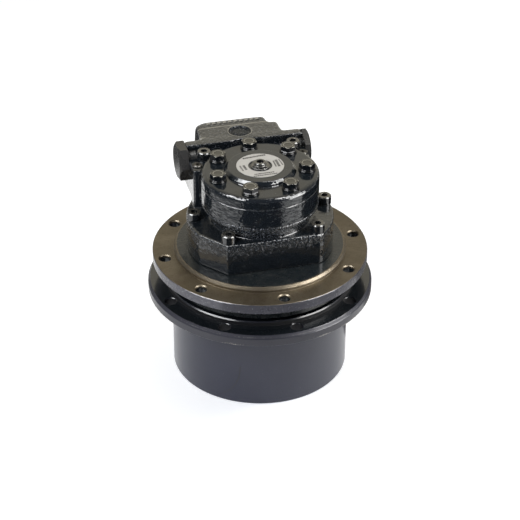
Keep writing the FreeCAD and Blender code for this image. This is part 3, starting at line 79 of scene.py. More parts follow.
class Graph:
    """A material's node tree, with short calls that return output sockets."""

    def __init__(self, name):
        self.mat = bpy.data.materials.new(name)
        self.mat.use_nodes = True
        self.tree = self.mat.node_tree
        self.tree.nodes.clear()
        self.out = self.tree.nodes.new("ShaderNodeOutputMaterial")
        self.bsdf = self.tree.nodes.new("ShaderNodeBsdfPrincipled")
        self.tree.links.new(self.bsdf.outputs[0], self.out.inputs[0])
        self._coord = None
        self._sep = None
        self._radius = None

    def feed(self, socket, value):
        if isinstance(value, bpy.types.NodeSocket):
            self.tree.links.new(value, socket)
        elif value is not None:
            if hasattr(value, "__len__") and len(value) == 3 and len(socket.default_value) == 4:
                value = (*value, 1.0)
            socket.default_value = value

    def put(self, kind, inputs=(), out=0, **attrs):
        n = self.tree.nodes.new(kind)
        for k, v in attrs.items():
            setattr(n, k, v)
        for k, v in dict(inputs).items():
            self.feed(n.inputs[k], v)
        return n.outputs[out]

    @property
    def coord(self):
        if self._coord is None:
            self._coord = self.put("ShaderNodeTexCoord", out="Object")
        return self._coord

    @property
    def sep(self):
        if self._sep is None:
            n = self.tree.nodes.new("ShaderNodeSeparateXYZ")
            self.tree.links.new(self.coord, n.inputs[0])
            self._sep = n.outputs
        return self._sep

    @property
    def radius(self):
        """Distance from the hub axis, in metres."""
        if self._radius is None:
            x, y = self.sep[0], self.sep[1]
            self._radius = self.math("SQRT", self.math("ADD", self.math("MULTIPLY", x, x), self.math("MULTIPLY", y, y)))
        return self._radius

    @property
    def up(self):
        """How far the true surface faces upwards, from -1 to 1."""
        n = self.tree.nodes.new("ShaderNodeSeparateXYZ")
        self.tree.links.new(self.put("ShaderNodeNewGeometry", out="Normal"), n.inputs[0])
        return n.outputs[2]

    def math(self, op, a, b=None, c=None, clamp=False):
        n = self.tree.nodes.new("ShaderNodeMath")
        n.operation = op
        n.use_clamp = clamp
        self.feed(n.inputs[0], a)
        if b is not None:
            self.feed(n.inputs[1], b)
        if c is not None:
            self.feed(n.inputs[2], c)
        return n.outputs[0]

    def add(self, a, b):
        return self.math("ADD", a, b)

    def mul(self, a, b):
        return self.math("MULTIPLY", a, b)

    def step(self, x, low, high, to_low=0.0, to_high=1.0):
        """Smooth step of x from low to high."""
        n = self.tree.nodes.new("ShaderNodeMapRange")
        n.interpolation_type = "SMOOTHSTEP"
        self.feed(n.inputs["Value"], x)
        for key, v in (("From Min", low), ("From Max", high), ("To Min", to_low), ("To Max", to_high)):
            n.inputs[key].default_value = v
        return n.outputs[0]

    def scaled(self, sx, sy, sz, vec=None, rot=(0, 0, 0)):
        n = self.tree.nodes.new("ShaderNodeMapping")
        self.feed(n.inputs["Vector"], vec if vec is not None else self.coord)
        n.inputs["Scale"].default_value = (sx, sy, sz)
        n.inputs["Rotation"].default_value = rot
        return n.outputs[0]

    def noise(self, scale, detail=3.0, rough=0.5, vec=None, warp=0.0, out="Fac"):
        return self.put("ShaderNodeTexNoise", {
            "Vector": vec if vec is not None else self.coord, "Scale": scale, "Detail": detail,
            "Roughness": rough, "Distortion": warp}, out=out)

    def cells(self, scale, vec=None, feature="F1", out="Distance", rnd=1.0):
        return self.put("ShaderNodeTexVoronoi", {
            "Vector": vec if vec is not None else self.coord, "Scale": scale, "Randomness": rnd}, out=out, feature=feature)

    def mix(self, fac, a, b):
        n = self.tree.nodes.new("ShaderNodeMix")
        n.data_type = "RGBA"
        self.feed(n.inputs[0], fac)
        self.feed(n.inputs[6], a)
        self.feed(n.inputs[7], b)
        return n.outputs[2]

    def blend(self, fac, a, b):
        n = self.tree.nodes.new("ShaderNodeMix")
        n.data_type = "FLOAT"
        self.feed(n.inputs[0], fac)
        self.feed(n.inputs[2], a)
        self.feed(n.inputs[3], b)
        return n.outputs[0]

    def bevel(self, radius, samples=4):
        n = self.tree.nodes.new("ShaderNodeBevel")
        n.samples = samples
        n.inputs["Radius"].default_value = radius
        return n.outputs[0]

    def edge(self, radius, low=0.995, high=0.90):
        """1 along sharp edges, inner or outer, 0 on plain faces."""
        n = self.tree.nodes.new("ShaderNodeVectorMath")
        n.operation = "DOT_PRODUCT"
        self.feed(n.inputs[0], self.bevel(radius))
        self.tree.links.new(self.put("ShaderNodeNewGeometry", out="Normal"), n.inputs[1])
        return self.step(self.math("SUBTRACT", 1.0, n.outputs["Value"]), 1.0 - low, 1.0 - high)

    def bump(self, height, distance, strength=1.0, normal=None):
        return self.put("ShaderNodeBump", {"Height": height, "Distance": distance, "Strength": strength, "Normal": normal})

    def between(self, x, a, b, soft):
        """1 where x lies between a and b."""
        return self.mul(self.step(x, a - soft, a + soft), self.step(x, b - soft, b + soft, 1.0, 0.0))

    def set(self, **inputs):
        for k, v in inputs.items():
            self.feed(self.bsdf.inputs[k.replace("_", " ")], v)
        return self.mat


def casting_paint():
    """Thick gloss black paint over a rough sand casting."""
    g = Graph("casting_paint")
    x, y, z = g.sep[0], g.sep[1], g.sep[2]
    r = g.radius
    peel = g.noise(1.0, 1.5, 0.45, vec=g.scaled(230, 230, 300))
    sand = g.noise(470, 2.0, 0.55)
    domes = g.cells(430, vec=g.put("ShaderNodeVectorMath", {0: g.coord, 1: g.put("ShaderNodeVectorMath", {0: g.noise(300, 2.0, out="Color"), 1: (0.0012, 0.0012, 0.0012)}, operation="MULTIPLY")}, operation="ADD"), feature="SMOOTH_F1")
    block = g.step(y, 0.0500, 0.0515)
    plate = g.math("SUBTRACT", 1.0, g.step(z, 0.1578, 0.1583))
    ragged = g.add(z, g.mul(g.add(g.noise(260, 4.0, 0.7), -0.5), 0.040))
    rim = g.mul(plate, g.step(ragged, 0.1460, 0.1570))
    base = g.mul(g.between(z, 0.1590, 0.1736, 0.0006), g.math("SUBTRACT", 1.0, g.step(r, 0.0555, 0.0565)))
    rough_cast = g.math("MAXIMUM", g.math("MAXIMUM", rim, base), g.mul(block, 0.42))
    flat_top = g.mul(plate, g.step(g.up, 0.85, 0.97))
    amount = g.blend(flat_top, g.add(0.14, rough_cast), 0.08)
    grains = g.math("SUBTRACT", 1.0, g.mul(domes, 1.6))
    height = g.add(g.mul(peel, 0.50), g.mul(amount, g.add(g.mul(sand, 0.8), g.mul(grains, 0.55))))
    dust = g.step(g.noise(95, 5.0, 0.65), 0.50, 0.74)
    glints = g.mul(g.step(g.noise(640, 2.5, 0.6), 0.575, 0.64), g.add(0.05, g.mul(g.math("SUBTRACT", 1.0, flat_top), g.mul(rough_cast, 0.95))))
    edge = g.mul(g.edge(0.0006), g.step(g.noise(420, 4.0, 0.65), 0.38, 0.56))
    strip = g.mul(g.step(y, 0.0838, 0.0846), g.step(z, 0.1960, 0.1975))
    raised = g.mul(g.mul(strip, g.step(y, 0.0905, 0.0910)), g.mul(g.step(y, 0.0960, 0.0955), g.mul(g.step(x, -0.0300, -0.0296), g.step(x, 0.0232, 0.0228))))
    comb = g.step(g.math("ABSOLUTE", g.math("SUBTRACT", g.math("FRACT", g.mul(g.add(x, 0.1296), 190.84)), 0.5)), 0.30, 0.24)
    col = g.mix(dust, (0.0085, 0.0115, 0.0150), (0.0165, 0.0180, 0.0190))
    col = g.mix(g.mul(g.mul(raised, comb), 0.9), col, (0.300, 0.290, 0.260))
    d = g.math("SQRT", g.add(g.math("POWER", g.add(x, 0.0022), 2.0), g.math("POWER", g.add(y, -0.0699), 2.0)))
    pad = g.mul(g.step(z, 0.2020, 0.2030), g.step(d, 0.0109, 0.0105))
    # painted highlight: a light line round the pad's rim and along the edge between the slab and the rear strip
    pad_rim = g.mul(g.step(z, 0.2020, 0.2030), g.between(d, 0.0106, 0.0116, 0.0002))
    ridge = g.mul(g.between(y, 0.0824, 0.0837, 0.0002), g.step(z, 0.2040, 0.2048))
    col = g.mix(g.mul(g.math("MAXIMUM", pad_rim, ridge), 0.8), col, (0.190, 0.180, 0.155))
    dull = g.math("MAXIMUM", g.mul(pad, 0.85), g.mul(strip, 0.75))
    col = g.mix(glints, col, (0.150, 0.160, 0.180))
    col = g.mix(g.mul(edge, 0.55), col, (0.150, 0.155, 0.160))
    rough = g.add(g.mul(dust, 0.10), g.add(0.13, g.mul(g.noise(160, 3.0), 0.12)))
    return g.set(Base_Color=col, Roughness=rough, IOR=1.5, Specular_IOR_Level=0.12, Coat_Weight=g.math("SUBTRACT", 1.0, dull), Coat_Roughness=0.04, Coat_IOR=1.6,
                 Normal=g.bump(height, 0.00060, 1.0, g.bevel(0.0005)), Coat_Normal=g.bump(height, 0.00052, 1.0, g.bevel(0.0005)))


def turned_paint():
    """Gloss black paint over turned steel: the roller ring and the cover."""
    g = Graph("turned_paint")
    z = g.sep[2]
    flat = g.step(g.up, 0.80, 0.95)
    combed = g.noise(1.0, 1.5, 0.55, vec=g.scaled(250, 250, 560))
    peel = g.noise(150, 1.5, 0.4)
    patch = g.add(0.35, g.step(g.noise(70, 3.0, 0.55), 0.42, 0.60))
    side = g.add(g.mul(g.mul(combed, patch), 0.62), g.mul(peel, 0.42))
    top = g.add(g.mul(peel, 0.20), g.mul(g.noise(900, 3.0, 0.6), 0.035))
    height = g.blend(flat, side, top)
    streaks = g.add(0.50, g.mul(g.step(g.noise(1.0, 3.0, 0.6, vec=g.scaled(190, 190, 620)), 0.38, 0.58), 0.50))
    dust = g.step(g.noise(110, 5.0, 0.65), 0.50, 0.75)
    specks = g.step(g.noise(1000, 2.0, 0.5), 0.68, 0.73)
    edge = g.mul(g.edge(0.0006), g.step(g.noise(380, 4.0, 0.65), 0.36, 0.54))
    col = g.mix(dust, (0.0085, 0.0115, 0.0150), (0.0160, 0.0170, 0.0180))
    col = g.mix(g.mul(specks, 0.45), col, (0.10, 0.11, 0.12))
    col = g.mix(g.mul(edge, 0.60), col, (0.155, 0.160, 0.165))
    rough = g.add(g.mul(dust, 0.08), g.add(0.12, g.mul(g.noise(150, 3.0), 0.10)))
    return g.set(Base_Color=col, Roughness=rough, IOR=1.5, Specular_IOR_Level=0.12, Coat_Weight=g.blend(flat, streaks, 0.80), Coat_Roughness=0.035, Coat_IOR=1.6,
                 Normal=g.bump(height, 0.00050, 1.0, g.bevel(0.0005)), Coat_Normal=g.bump(height, 0.00046, 1.0, g.bevel(0.0005)))


def hub_paint():
    """Smooth satin blue-black paint over the turned hub, worn to metal along the flange's edge."""
    g = Graph("hub_paint")
    r, z = g.radius, g.sep[2]
    up = g.up
    rings = g.noise(1.0, 2.0, 0.5, vec=g.put("ShaderNodeCombineXYZ", {0: g.mul(z, 2600), 1: g.mul(r, 2600), 2: 0.0}))
    peel = g.noise(300, 2.0, 0.45)
    cloud = g.noise(26, 4.0, 0.6)
    fine = g.noise(700, 3.0, 0.6)
    flange = g.step(z, 0.0800, 0.0812)
    top = g.mul(flange, g.step(up, 0.55, 0.85))
    edge = g.mul(g.step(r, 0.1030, 0.1036), g.step(z, 0.0885, 0.0900))
    outer = g.mul(g.step(r, 0.1038, 0.1046), g.step(z, 0.0896, 0.0906))
    low_edge = g.mul(g.step(r, 0.1030, 0.1049), g.step(z, 0.0835, 0.0812))
    chips = g.step(g.add(g.noise(620, 4.0, 0.75), g.mul(g.noise(34, 3.0), 0.70)), 0.90, 0.95)
    lower = g.step(g.add(g.noise(700, 4.0, 0.75), g.mul(g.noise(26, 3.0), 0.75)), 0.98, 1.02)
    worn = g.math("MAXIMUM", g.mul(outer, chips), g.mul(low_edge, lower))
    bore = g.mul(g.mul(flange, g.step(r, 0.1032, 0.1028)), g.step(g.math("ABSOLUTE", up), 0.40, 0.20))
    bore = g.mul(bore, g.step(r, 0.0870, 0.0875))
    col = g.mix(cloud, (0.0150, 0.0170, 0.0330), (0.0235, 0.0260, 0.0460))
    side = g.mix(cloud, (0.0190, 0.0195, 0.0300), (0.0330, 0.0330, 0.0450))
    col = g.mix(flange, col, side)
    col = g.mix(top, col, g.mix(cloud, (0.0060, 0.0085, 0.0115), (0.0110, 0.0135, 0.0160)))
    col = g.mix(g.mul(g.step(fine, 0.66, 0.72), 0.35), col, (0.075, 0.075, 0.085))
    col = g.mix(g.mul(g.step(g.noise(420, 4.0, 0.7), 0.66, 0.70), 0.5), col, (0.006, 0.006, 0.008))
    # painted shade: the walls of the flange's holes are painted near black
    col = g.mix(g.mul(bore, 0.9), col, (0.006, 0.006, 0.007))
    col = g.mix(worn, col, (0.46, 0.43, 0.39))
    dull = g.math("MAXIMUM", g.mul(edge, 0.75), bore)
    rough = g.add(g.blend(top, 0.26, 0.14), g.add(g.mul(cloud, 0.12), g.add(g.mul(worn, 0.12), g.mul(dull, 0.30))))
    height = g.add(g.mul(rings, 0.35), g.add(g.mul(peel, 0.7), g.add(g.mul(fine, 0.25), g.mul(worn, -3.0))))
    coat = g.mul(g.blend(top, 0.30, 0.85), g.math("SUBTRACT", 1.0, g.mul(dull, 0.95)))
    return g.set(Base_Color=col, Roughness=rough, Metallic=g.mul(worn, 0.8), IOR=1.5, Specular_IOR_Level=0.30, Coat_Weight=coat, Coat_Roughness=0.12, Coat_IOR=1.5,
                 Normal=g.bump(height, 0.00004, 0.7, g.bevel(0.0005)))


def flange_iron():
    """The frame flange: bare turned face with a thin oil film, black paint inside the bare shoulder, satin rim."""
    g = Graph("flange_iron")
    r, z = g.radius, g.sep[2]
    x, y = g.sep[0], g.sep[1]
    lathe = g.noise(1.0, 3.0, 0.6, vec=g.put("ShaderNodeCombineXYZ", {0: g.mul(r, 5200), 1: g.mul(z, 5200), 2: 0.0}))
    broad = g.noise(1.0, 2.0, 0.5, vec=g.put("ShaderNodeCombineXYZ", {0: g.mul(r, 900), 1: 0.0, 2: 0.0}))
    stain = g.noise(34, 5.0, 0.62)
    speck = g.step(g.noise(520, 5.0, 0.75), 0.52, 0.66)
    pale = g.step(g.noise(680, 4.0, 0.75), 0.58, 0.70)
    ragged = g.add(r, g.mul(g.add(g.noise(150, 4.0, 0.65), -0.5), 0.0016))
    bare = g.mul(g.step(z, 0.1190, 0.1205), g.step(ragged, 0.0771, 0.0776))
    rim = g.step(r, 0.0990, 0.0998)
    face = g.mix(stain, (0.125, 0.102, 0.066), (0.085, 0.070, 0.047))
    # painted sheen: lighter and darker radial streaks by angle round the axis, standing for the turned face's
    # reflections
    turn = g.put("ShaderNodeCombineXYZ", {0: g.math("DIVIDE", x, r), 1: g.math("DIVIDE", y, r), 2: g.mul(r, 6.0)})
    sheen = g.step(g.noise(3.4, 3.0, 0.6, vec=turn), 0.42, 0.66)
    face = g.mix(g.mul(sheen, 0.55), face, (0.200, 0.170, 0.125))
    face = g.mix(g.mul(g.step(g.noise(5.0, 3.0, 0.6, vec=turn), 0.52, 0.72), 0.45), face, (0.075, 0.056, 0.040))
    face = g.mix(g.mul(broad, 0.30), face, (0.165, 0.138, 0.098))
    # painted shade: the bare face darkens towards the right side (+x)
    face = g.mix(g.step(g.add(g.mul(x, 0.90), g.mul(y, -0.10)), 0.030, 0.085, 0.0, 0.38), face, (0.062, 0.048, 0.034))
    face = g.mix(g.mul(speck, 0.48), face, (0.050, 0.040, 0.031))
    face = g.mix(g.mul(pale, 0.35), face, (0.240, 0.205, 0.155))
    shoulder = g.between(r, 0.0774, 0.0806, 0.00015)
    face = g.mix(g.mul(shoulder, 0.25), face, (0.22, 0.190, 0.150))
    sink = g.mul(g.between(r, 0.0835, 0.0968, 0.0004), g.step(z, 0.12190, 0.12178))
    face = g.mix(g.mul(sink, 0.5), face, (0.16, 0.135, 0.10))
    worn = g.step(g.add(g.noise(420, 5.0, 0.7), g.mul(g.noise(20, 2.0), 0.3)), 0.58, 0.86)
    side = g.mix(worn, (0.066, 0.066, 0.080), (0.135, 0.133, 0.148))
    side = g.mix(g.step(g.noise(800, 3.0, 0.6), 0.66, 0.71), side, (0.42, 0.42, 0.43))
    black = g.mix(g.step(g.noise(160, 5.0, 0.65), 0.44, 0.70), (0.0090, 0.0125, 0.0145), (0.0230, 0.0250, 0.0250))
    black = g.mix(g.mul(g.step(g.noise(700, 3.0, 0.6), 0.60, 0.68), 0.22), black, (0.12, 0.125, 0.13))
    inside = g.math("SUBTRACT", 1.0, g.step(r, 0.0925, 0.0935))
    dark = g.mix(inside, side, black)
    on_face = g.mul(bare, g.math("SUBTRACT", 1.0, g.mul(rim, g.step(z, 0.12195, 0.12175))))
    col = g.mix(on_face, dark, face)
    metal = g.blend(on_face, g.mul(g.math("SUBTRACT", 1.0, inside), g.add(0.25, g.mul(worn, 0.45))), 0.93)
    rough = g.blend(on_face, g.add(0.20, g.mul(stain, 0.14)), g.add(0.31, g.add(g.mul(stain, 0.18), g.mul(speck, 0.10))))
    painted = g.add(g.mul(g.noise(420, 4.0, 0.65), 9.0), g.mul(g.noise(1000, 3.0), 3.0))
    height = g.blend(on_face, g.mul(painted, g.add(0.25, g.mul(inside, 0.75))), g.add(g.mul(lathe, 1.9), g.mul(g.noise(300, 3.0), 0.6)))
    return g.set(Base_Color=col, Metallic=metal, Roughness=rough, IOR=1.5, Specular_IOR_Level=0.22, Coat_Weight=g.blend(on_face, g.add(0.25, g.mul(inside, 0.30)), 0.22), Coat_Roughness=0.14,
                 Normal=g.bump(height, 0.000045, 0.8, g.bevel(0.0005)))


def bolt_paint():
    """Gloss paint pooled over hexagon heads, with a brownish painted reflection on the dished tops and a painted
    highlight along the upper chamfers.
    """
    g = Graph("bolt_paint")
    up = g.up
    top = g.step(up, 0.80, 0.95)
    mottle = g.noise(170, 3.0, 0.5)
    edge = g.mul(g.between(up, 0.45, 0.93, 0.03), g.step(g.sep[2], 0.2078, 0.2086))
    chamfer_highlight = g.mul(edge, g.step(g.noise(420, 3.0, 0.6), 0.26, 0.44))
    # painted reflection: the upward faces get a brownish tone standing for the warm back light, the sides stay black
    col = g.mix(top, (0.0055, 0.0070, 0.0090), g.mix(mottle, (0.024, 0.023, 0.018), (0.046, 0.042, 0.032)))
    # painted highlight: a broken light ring along the upper chamfers
    col = g.mix(g.mul(chamfer_highlight, 0.90), col, (0.25, 0.24, 0.205))
    height = g.add(g.mul(g.noise(800, 3.0, 0.6), 0.5), g.noise(240, 2.0))
    return g.set(Base_Color=col, Roughness=g.add(0.16, g.mul(mottle, 0.10)), Metallic=g.mul(chamfer_highlight, 0.3), IOR=1.5, Specular_IOR_Level=0.12,
                 Coat_Weight=g.blend(top, 0.38, 0.80), Coat_Roughness=0.06, Coat_IOR=1.55, Normal=g.bump(height, 0.00003, 0.8, g.bevel(0.00015)))


def screw_black():
    """Painted cap screws, with a brownish painted reflection on the upward faces and grey painted highlights along the
    edges.
    """
    g = Graph("screw_black")
    up = g.up
    rim = g.step(up, 0.60, 0.85)
    mottle = g.noise(260, 3.0, 0.5)
    edge = g.mul(g.edge(0.00045), g.step(g.noise(420, 3.0, 0.6), 0.32, 0.48))
    grain = g.noise(1200, 3.0, 0.6)
    # painted reflection: the upward faces are brownish, the sides black
    col = g.mix(rim, (0.0075, 0.0090, 0.0110), g.mix(mottle, (0.030, 0.029, 0.024), (0.062, 0.058, 0.048)))
    # painted highlight: broken grey-metal lines along the edges
    col = g.mix(g.mul(edge, 0.75), col, (0.38, 0.37, 0.34))
    return g.set(Base_Color=col, Metallic=g.mul(edge, 0.5), Roughness=g.add(0.16, g.mul(mottle, 0.10)), IOR=1.5, Specular_IOR_Level=0.3, Coat_Weight=0.9, Coat_Roughness=0.05,
                 Coat_IOR=1.6, Normal=g.bump(grain, 0.00004, 0.7, g.bevel(0.0004)))


def steel(name, low, high, rough, scale=300.0, metallic=1.0, lines=0.0):
    """Machined steel with a fine grain and slight staining."""
    g = Graph(name)
    cloud = g.noise(scale * 0.2, 4.0, 0.6)
    grain = g.noise(scale * 5, 3.0, 0.6)
    ring = g.noise(1.0, 2.0, 0.5, vec=g.put("ShaderNodeCombineXYZ", {0: g.mul(g.radius, 4000), 1: g.mul(g.sep[2], 4000), 2: 0.0}))
    col = g.mix(cloud, low, high)
    height = g.add(grain, g.mul(ring, lines))
    return g.set(Base_Color=col, Metallic=metallic, Roughness=g.add(rough, g.mul(cloud, 0.14)),
                 Normal=g.bump(height, 0.00003, 0.6, g.bevel(0.0004)))


def rubber(name):
    g = Graph(name)
    fine = g.noise(900, 3.0, 0.6)
    col = g.mix(g.noise(120, 3.0), (0.012, 0.012, 0.012), (0.022, 0.021, 0.020))
    return g.set(Base_Color=col, Roughness=g.add(0.50, g.mul(fine, 0.15)), Normal=g.bump(fine, 0.00003, 0.6))


def foil():
    """Matt white foil label, a little scuffed."""
    g = Graph("label_foil")
    scuff = g.step(g.noise(240, 5.0, 0.65), 0.55, 0.78)
    col = g.mix(scuff, (0.47, 0.46, 0.44), (0.36, 0.35, 0.33))
    return g.set(Base_Color=col, Roughness=g.add(0.38, g.mul(scuff, 0.2)), Normal=g.bump(g.noise(160, 3.0), 0.00005, 0.5))


M = {
    "casting": casting_paint(), "turned": turned_paint(), "hub": hub_paint(), "flange": flange_iron(), "bolt": bolt_paint(),
    "screw": screw_black(), "foil": foil(), "rubber": rubber("seal_rubber"),
    "gear": steel("machined_steel", (0.30, 0.30, 0.30), (0.46, 0.45, 0.44), 0.24, lines=0.6),
    "plug": steel("plug_steel", (0.045, 0.044, 0.042), (0.12, 0.115, 0.105), 0.24, metallic=0.85),
    "washer": steel("washer_steel", (0.030, 0.030, 0.031), (0.060, 0.058, 0.055), 0.22, metallic=0.5),
    "spring": steel("spring_steel", (0.10, 0.10, 0.105), (0.20, 0.195, 0.19), 0.30),
    "bronze": steel("bush_bronze", (0.42, 0.27, 0.12), (0.55, 0.38, 0.18), 0.28, lines=0.5),
    "cover_iron": steel("cover_iron", (0.020, 0.021, 0.024), (0.034, 0.035, 0.038), 0.26, metallic=0.0, lines=0.8),
    "ink": steel("mark_ink", (0.012, 0.011, 0.011), (0.035, 0.033, 0.032), 0.45, metallic=0.0),
    "furrow": steel("scratch_furrow", (0.0045, 0.0050, 0.0070), (0.0120, 0.0130, 0.0170), 0.42, 600.0, metallic=0.0),
    "valve_plug": steel("valve_plug_paint", (0.022, 0.022, 0.023), (0.052, 0.050, 0.046), 0.20, metallic=0.25),
}
BY_SLOT = {
    "hub_paint": "hub", "flange_iron": "flange", "casting_paint": "casting", "bolt_paint": "bolt", "screw_black": "screw",
    "washer_steel": "washer", "label_white": "foil", "plug_steel": "plug", "cover_iron": "cover_iron", "spring_steel": "spring",
    "bush_bronze": "bronze", "seal_rubber": "rubber", "machined_steel": "gear",
}
slot_of = {s["node"]: s["material_slot"] for s in frame["record"]["subparts"]}
OWN = {"cover_washers": "bolt", "centre_plug": "screw", "roller_ring": "turned", "motor_cover": "turned", "valve_plug_left": "valve_plug", "valve_plug_right": "valve_plug"}


def dress(obj, mat):
    if not obj.data.materials:
        obj.data.materials.append(mat)
    for i in range(len(obj.data.materials)):
        obj.data.materials[i] = mat


for name, obj in NODES.items():
    dress(obj, M[OWN.get(name) or BY_SLOT[slot_of[name]]])

# ------------------------------------------------------------------ meshes


def link(mesh, name, body, mat, angle=None, replaced=()):
    """A finished mesh as a piece that rides on a body."""
    obj = bpy.data.objects.new(name, mesh)
    bpy.context.scene.collection.objects.link(obj)
    mesh.shade_smooth()
    if angle is not None:
        mesh.set_sharp_from_angle(angle=math.radians(angle))
    mesh.materials.clear()
    mesh.materials.append(mat)
    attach(obj, body)
    if replaced:
        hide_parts(*replaced)
    return obj


def from_bm(bm, name):
    bmesh.ops.recalc_face_normals(bm, faces=bm.faces)
    mesh = bpy.data.meshes.new(name)
    bm.to_mesh(mesh)
    bm.free()
    return mesh


def ease(x, low, high):
    t = np.clip((x - low) / (high - low), 0, 1)
    return t * t * (3 - 2 * t)


def softened_casting(node, voxel, zones, shape):
    """A CAD casting as an even skin of small faces, with its cast edges worn round.

    zones is [(steps, weight function)]: more steps give a larger edge radius where the weight is 1.
    shape(points, normals) gives the last offsets.
    """
    src = NODES[node].data
    bm = bmesh.new()
    bm.from_mesh(src)
    bmesh.ops.remove_doubles(bm, verts=bm.verts, dist=2e-6)
    raw = bpy.data.meshes.new(node + "_raw")
    bm.to_mesh(raw)
    bm.free()
    tmp = bpy.data.objects.new(node + "_tmp", raw)
    bpy.context.scene.collection.objects.link(tmp)
    mod = tmp.modifiers.new("skin", "REMESH")
    mod.mode = "VOXEL"
    mod.voxel_size = voxel
    skin = bpy.data.meshes.new_from_object(tmp.evaluated_get(bpy.context.evaluated_depsgraph_get()))
    bpy.data.objects.remove(tmp)
    n = len(skin.vertices)
    co = np.empty(n * 3, np.float64)
    skin.vertices.foreach_get("co", co)
    co = co.reshape(-1, 3)
    ed = np.empty(len(skin.edges) * 2, np.int64)
    skin.edges.foreach_get("vertices", ed)
    ed = ed.reshape(-1, 2)
    deg = np.bincount(ed.ravel(), minlength=n).astype(float)
    for steps, weight in zones:
        w = (0.5 * weight(co))[:, None]
        for _ in range(steps):
            mean = np.stack([np.bincount(ed[:, 0], co[ed[:, 1], k], n) + np.bincount(ed[:, 1], co[ed[:, 0], k], n) for k in range(3)], 1) / deg[:, None]
            co += w * (mean - co)
    skin.vertices.foreach_set("co", co.ravel())
    skin.update()
    nor = np.empty(n * 3, np.float32)
    skin.vertex_normals.foreach_get("vector", nor)
    co += shape(co, nor.reshape(-1, 3).astype(float))
    skin.vertices.foreach_set("co", co.ravel())
    skin.update()
    return skin


def rough_field(pts, size, seed=0.0, octaves=2):
    """Smooth noise of about the given grain size, from -1 to 1."""
    out = np.zeros(len(pts))
    off = Vector((seed, seed * 1.7, -seed))
    k, amp = 1.0 / size, 1.0
    for _ in range(octaves):
        out += amp * np.fromiter((noise.noise(Vector(p) * k + off) for p in pts), float, len(pts))
        k *= 2.1
        amp *= 0.5
    return out


def body_shape(p, n):
    x, y, z = p[:, 0], p[:, 1], p[:, 2]
    r = np.hypot(x, y)
    out = np.zeros_like(p)
    # rough sand-cast skin, strongest on the plate's upper rim, the stack's base and the valve block's front wall
    cast = 0.35 + 0.9 * ease(z, 0.146, 0.149) * ease(-z, -0.1586, -0.1570) + 1.0 * ease(z, 0.160, 0.162) * ease(-z, -0.1735, -0.1725) * ease(-r, -0.0560, -0.0545)
    cast += 0.7 * ease(y, 0.048, 0.051) * ease(z, 0.163, 0.166)
    cast *= 1.0 - 0.85 * ease(n[:, 2], 0.8, 0.97) * ease(-z, -0.162, -0.150)
    seen = (r > 0.0440) | (z > 0.174) | (z < 0.128)
    fine = np.zeros(len(p))
    idx = np.nonzero(seen)[0]
    fine[idx] = rough_field(p[idx], 0.0024, 3.1)
    wide = np.zeros(len(p))
    wide[idx] = rough_field(p[idx], 0.016, 9.4, 1)
    lift = 0.000150 * cast * (fine - 0.9) + 0.00014 * (wide - 0.8)
    # the bore, the two end faces and everything inside stay as machined
    lift *= np.where(seen, 1.0, 0.0) * ease(z, 0.1272, 0.1285) * ease(-z, -0.2080, -0.1000)
    lift *= 1.0 - ease(z, 0.1722, 0.1730) * ease(-r, -0.0560, -0.0545)
    out += n * lift[:, None]
    # shallow round pad on the slab, with a low rim and a plain raised centre
    d = np.hypot(x + 0.0022, y - 0.0699)
    top = ease(z, 0.2030, 0.2050) * ease(n[:, 2], 0.5, 0.9)
    pad = -0.00150 * ease(-d, -0.0108, -0.0098) + 0.00040 * ease(-d, -0.0122, -0.0112) * ease(d, 0.0098, 0.0108) + 0.00070 * ease(-d, -0.0072, -0.0064)
    out[:, 2] += top * pad
    # a row of plain raised bars along the rear strip
    phase = (x + 0.0296) / 0.00524 - 0.5
    bar = ease(-np.abs(phase - np.round(phase)), -0.33, -0.20) * ease(x, -0.0296, -0.0290) * ease(-x, -0.0228, -0.0222)
    bar *= ease(y, 0.0902, 0.0910) * ease(-y, -0.0964, -0.0956) * ease(z, 0.2000, 0.2010) * ease(n[:, 2], 0.5, 0.8)
    out[:, 2] += 0.00060 * bar
    # parting line down the plate's front
    line = np.exp(-((x - MOULD_X) / 0.00055) ** 2) * ease(-y, 0.040, 0.046) * ease(z, 0.130, 0.133) * ease(-z, -0.1570, -0.1550)
    out += n * (0.00030 * line)[:, None]
    return out


MOULD_X = 0.0436
body_skin = softened_casting("motor_body", 0.00075, [
    (5, lambda p: np.ones(len(p))),
    (5, lambda p: ease(p[:, 2], 0.1975, 0.2005) * ease(p[:, 1], 0.0600, 0.0640)),
    (8, lambda p: ease(p[:, 1], 0.0850, 0.0880)),
    (90, lambda p: ease(p[:, 2], 0.1900, 0.1980) * ease(p[:, 1], 0.0630, 0.0670) * ease(-p[:, 0], 0.0290, 0.0340)),
    (12, lambda p: ease(p[:, 2], 0.1900, 0.1980) * ease(p[:, 1], 0.0560, 0.0600) * ease(p[:, 0], 0.0150, 0.0230)),
    (16, lambda p: ease(p[:, 2], 0.160, 0.164) * ease(p[:, 1], 0.0660, 0.0700)),
    (12, lambda p: ease(p[:, 2], 0.160, 0.163) * ease(np.abs(p[:, 0]), 0.0440, 0.0470) * ease(p[:, 1], 0.020, 0.0215)),
], body_shape)
body = link(body_skin, "motor_body_casting", "frame_side", M["casting"], replaced=("motor_body",))


def hex_reach(angle, flats):
    """Distance from a hexagon's centre to its side, in the given direction."""
    a = (angle + math.pi / 6) % (math.pi / 3) - math.pi / 6
    return flats / 2 / math.cos(a)


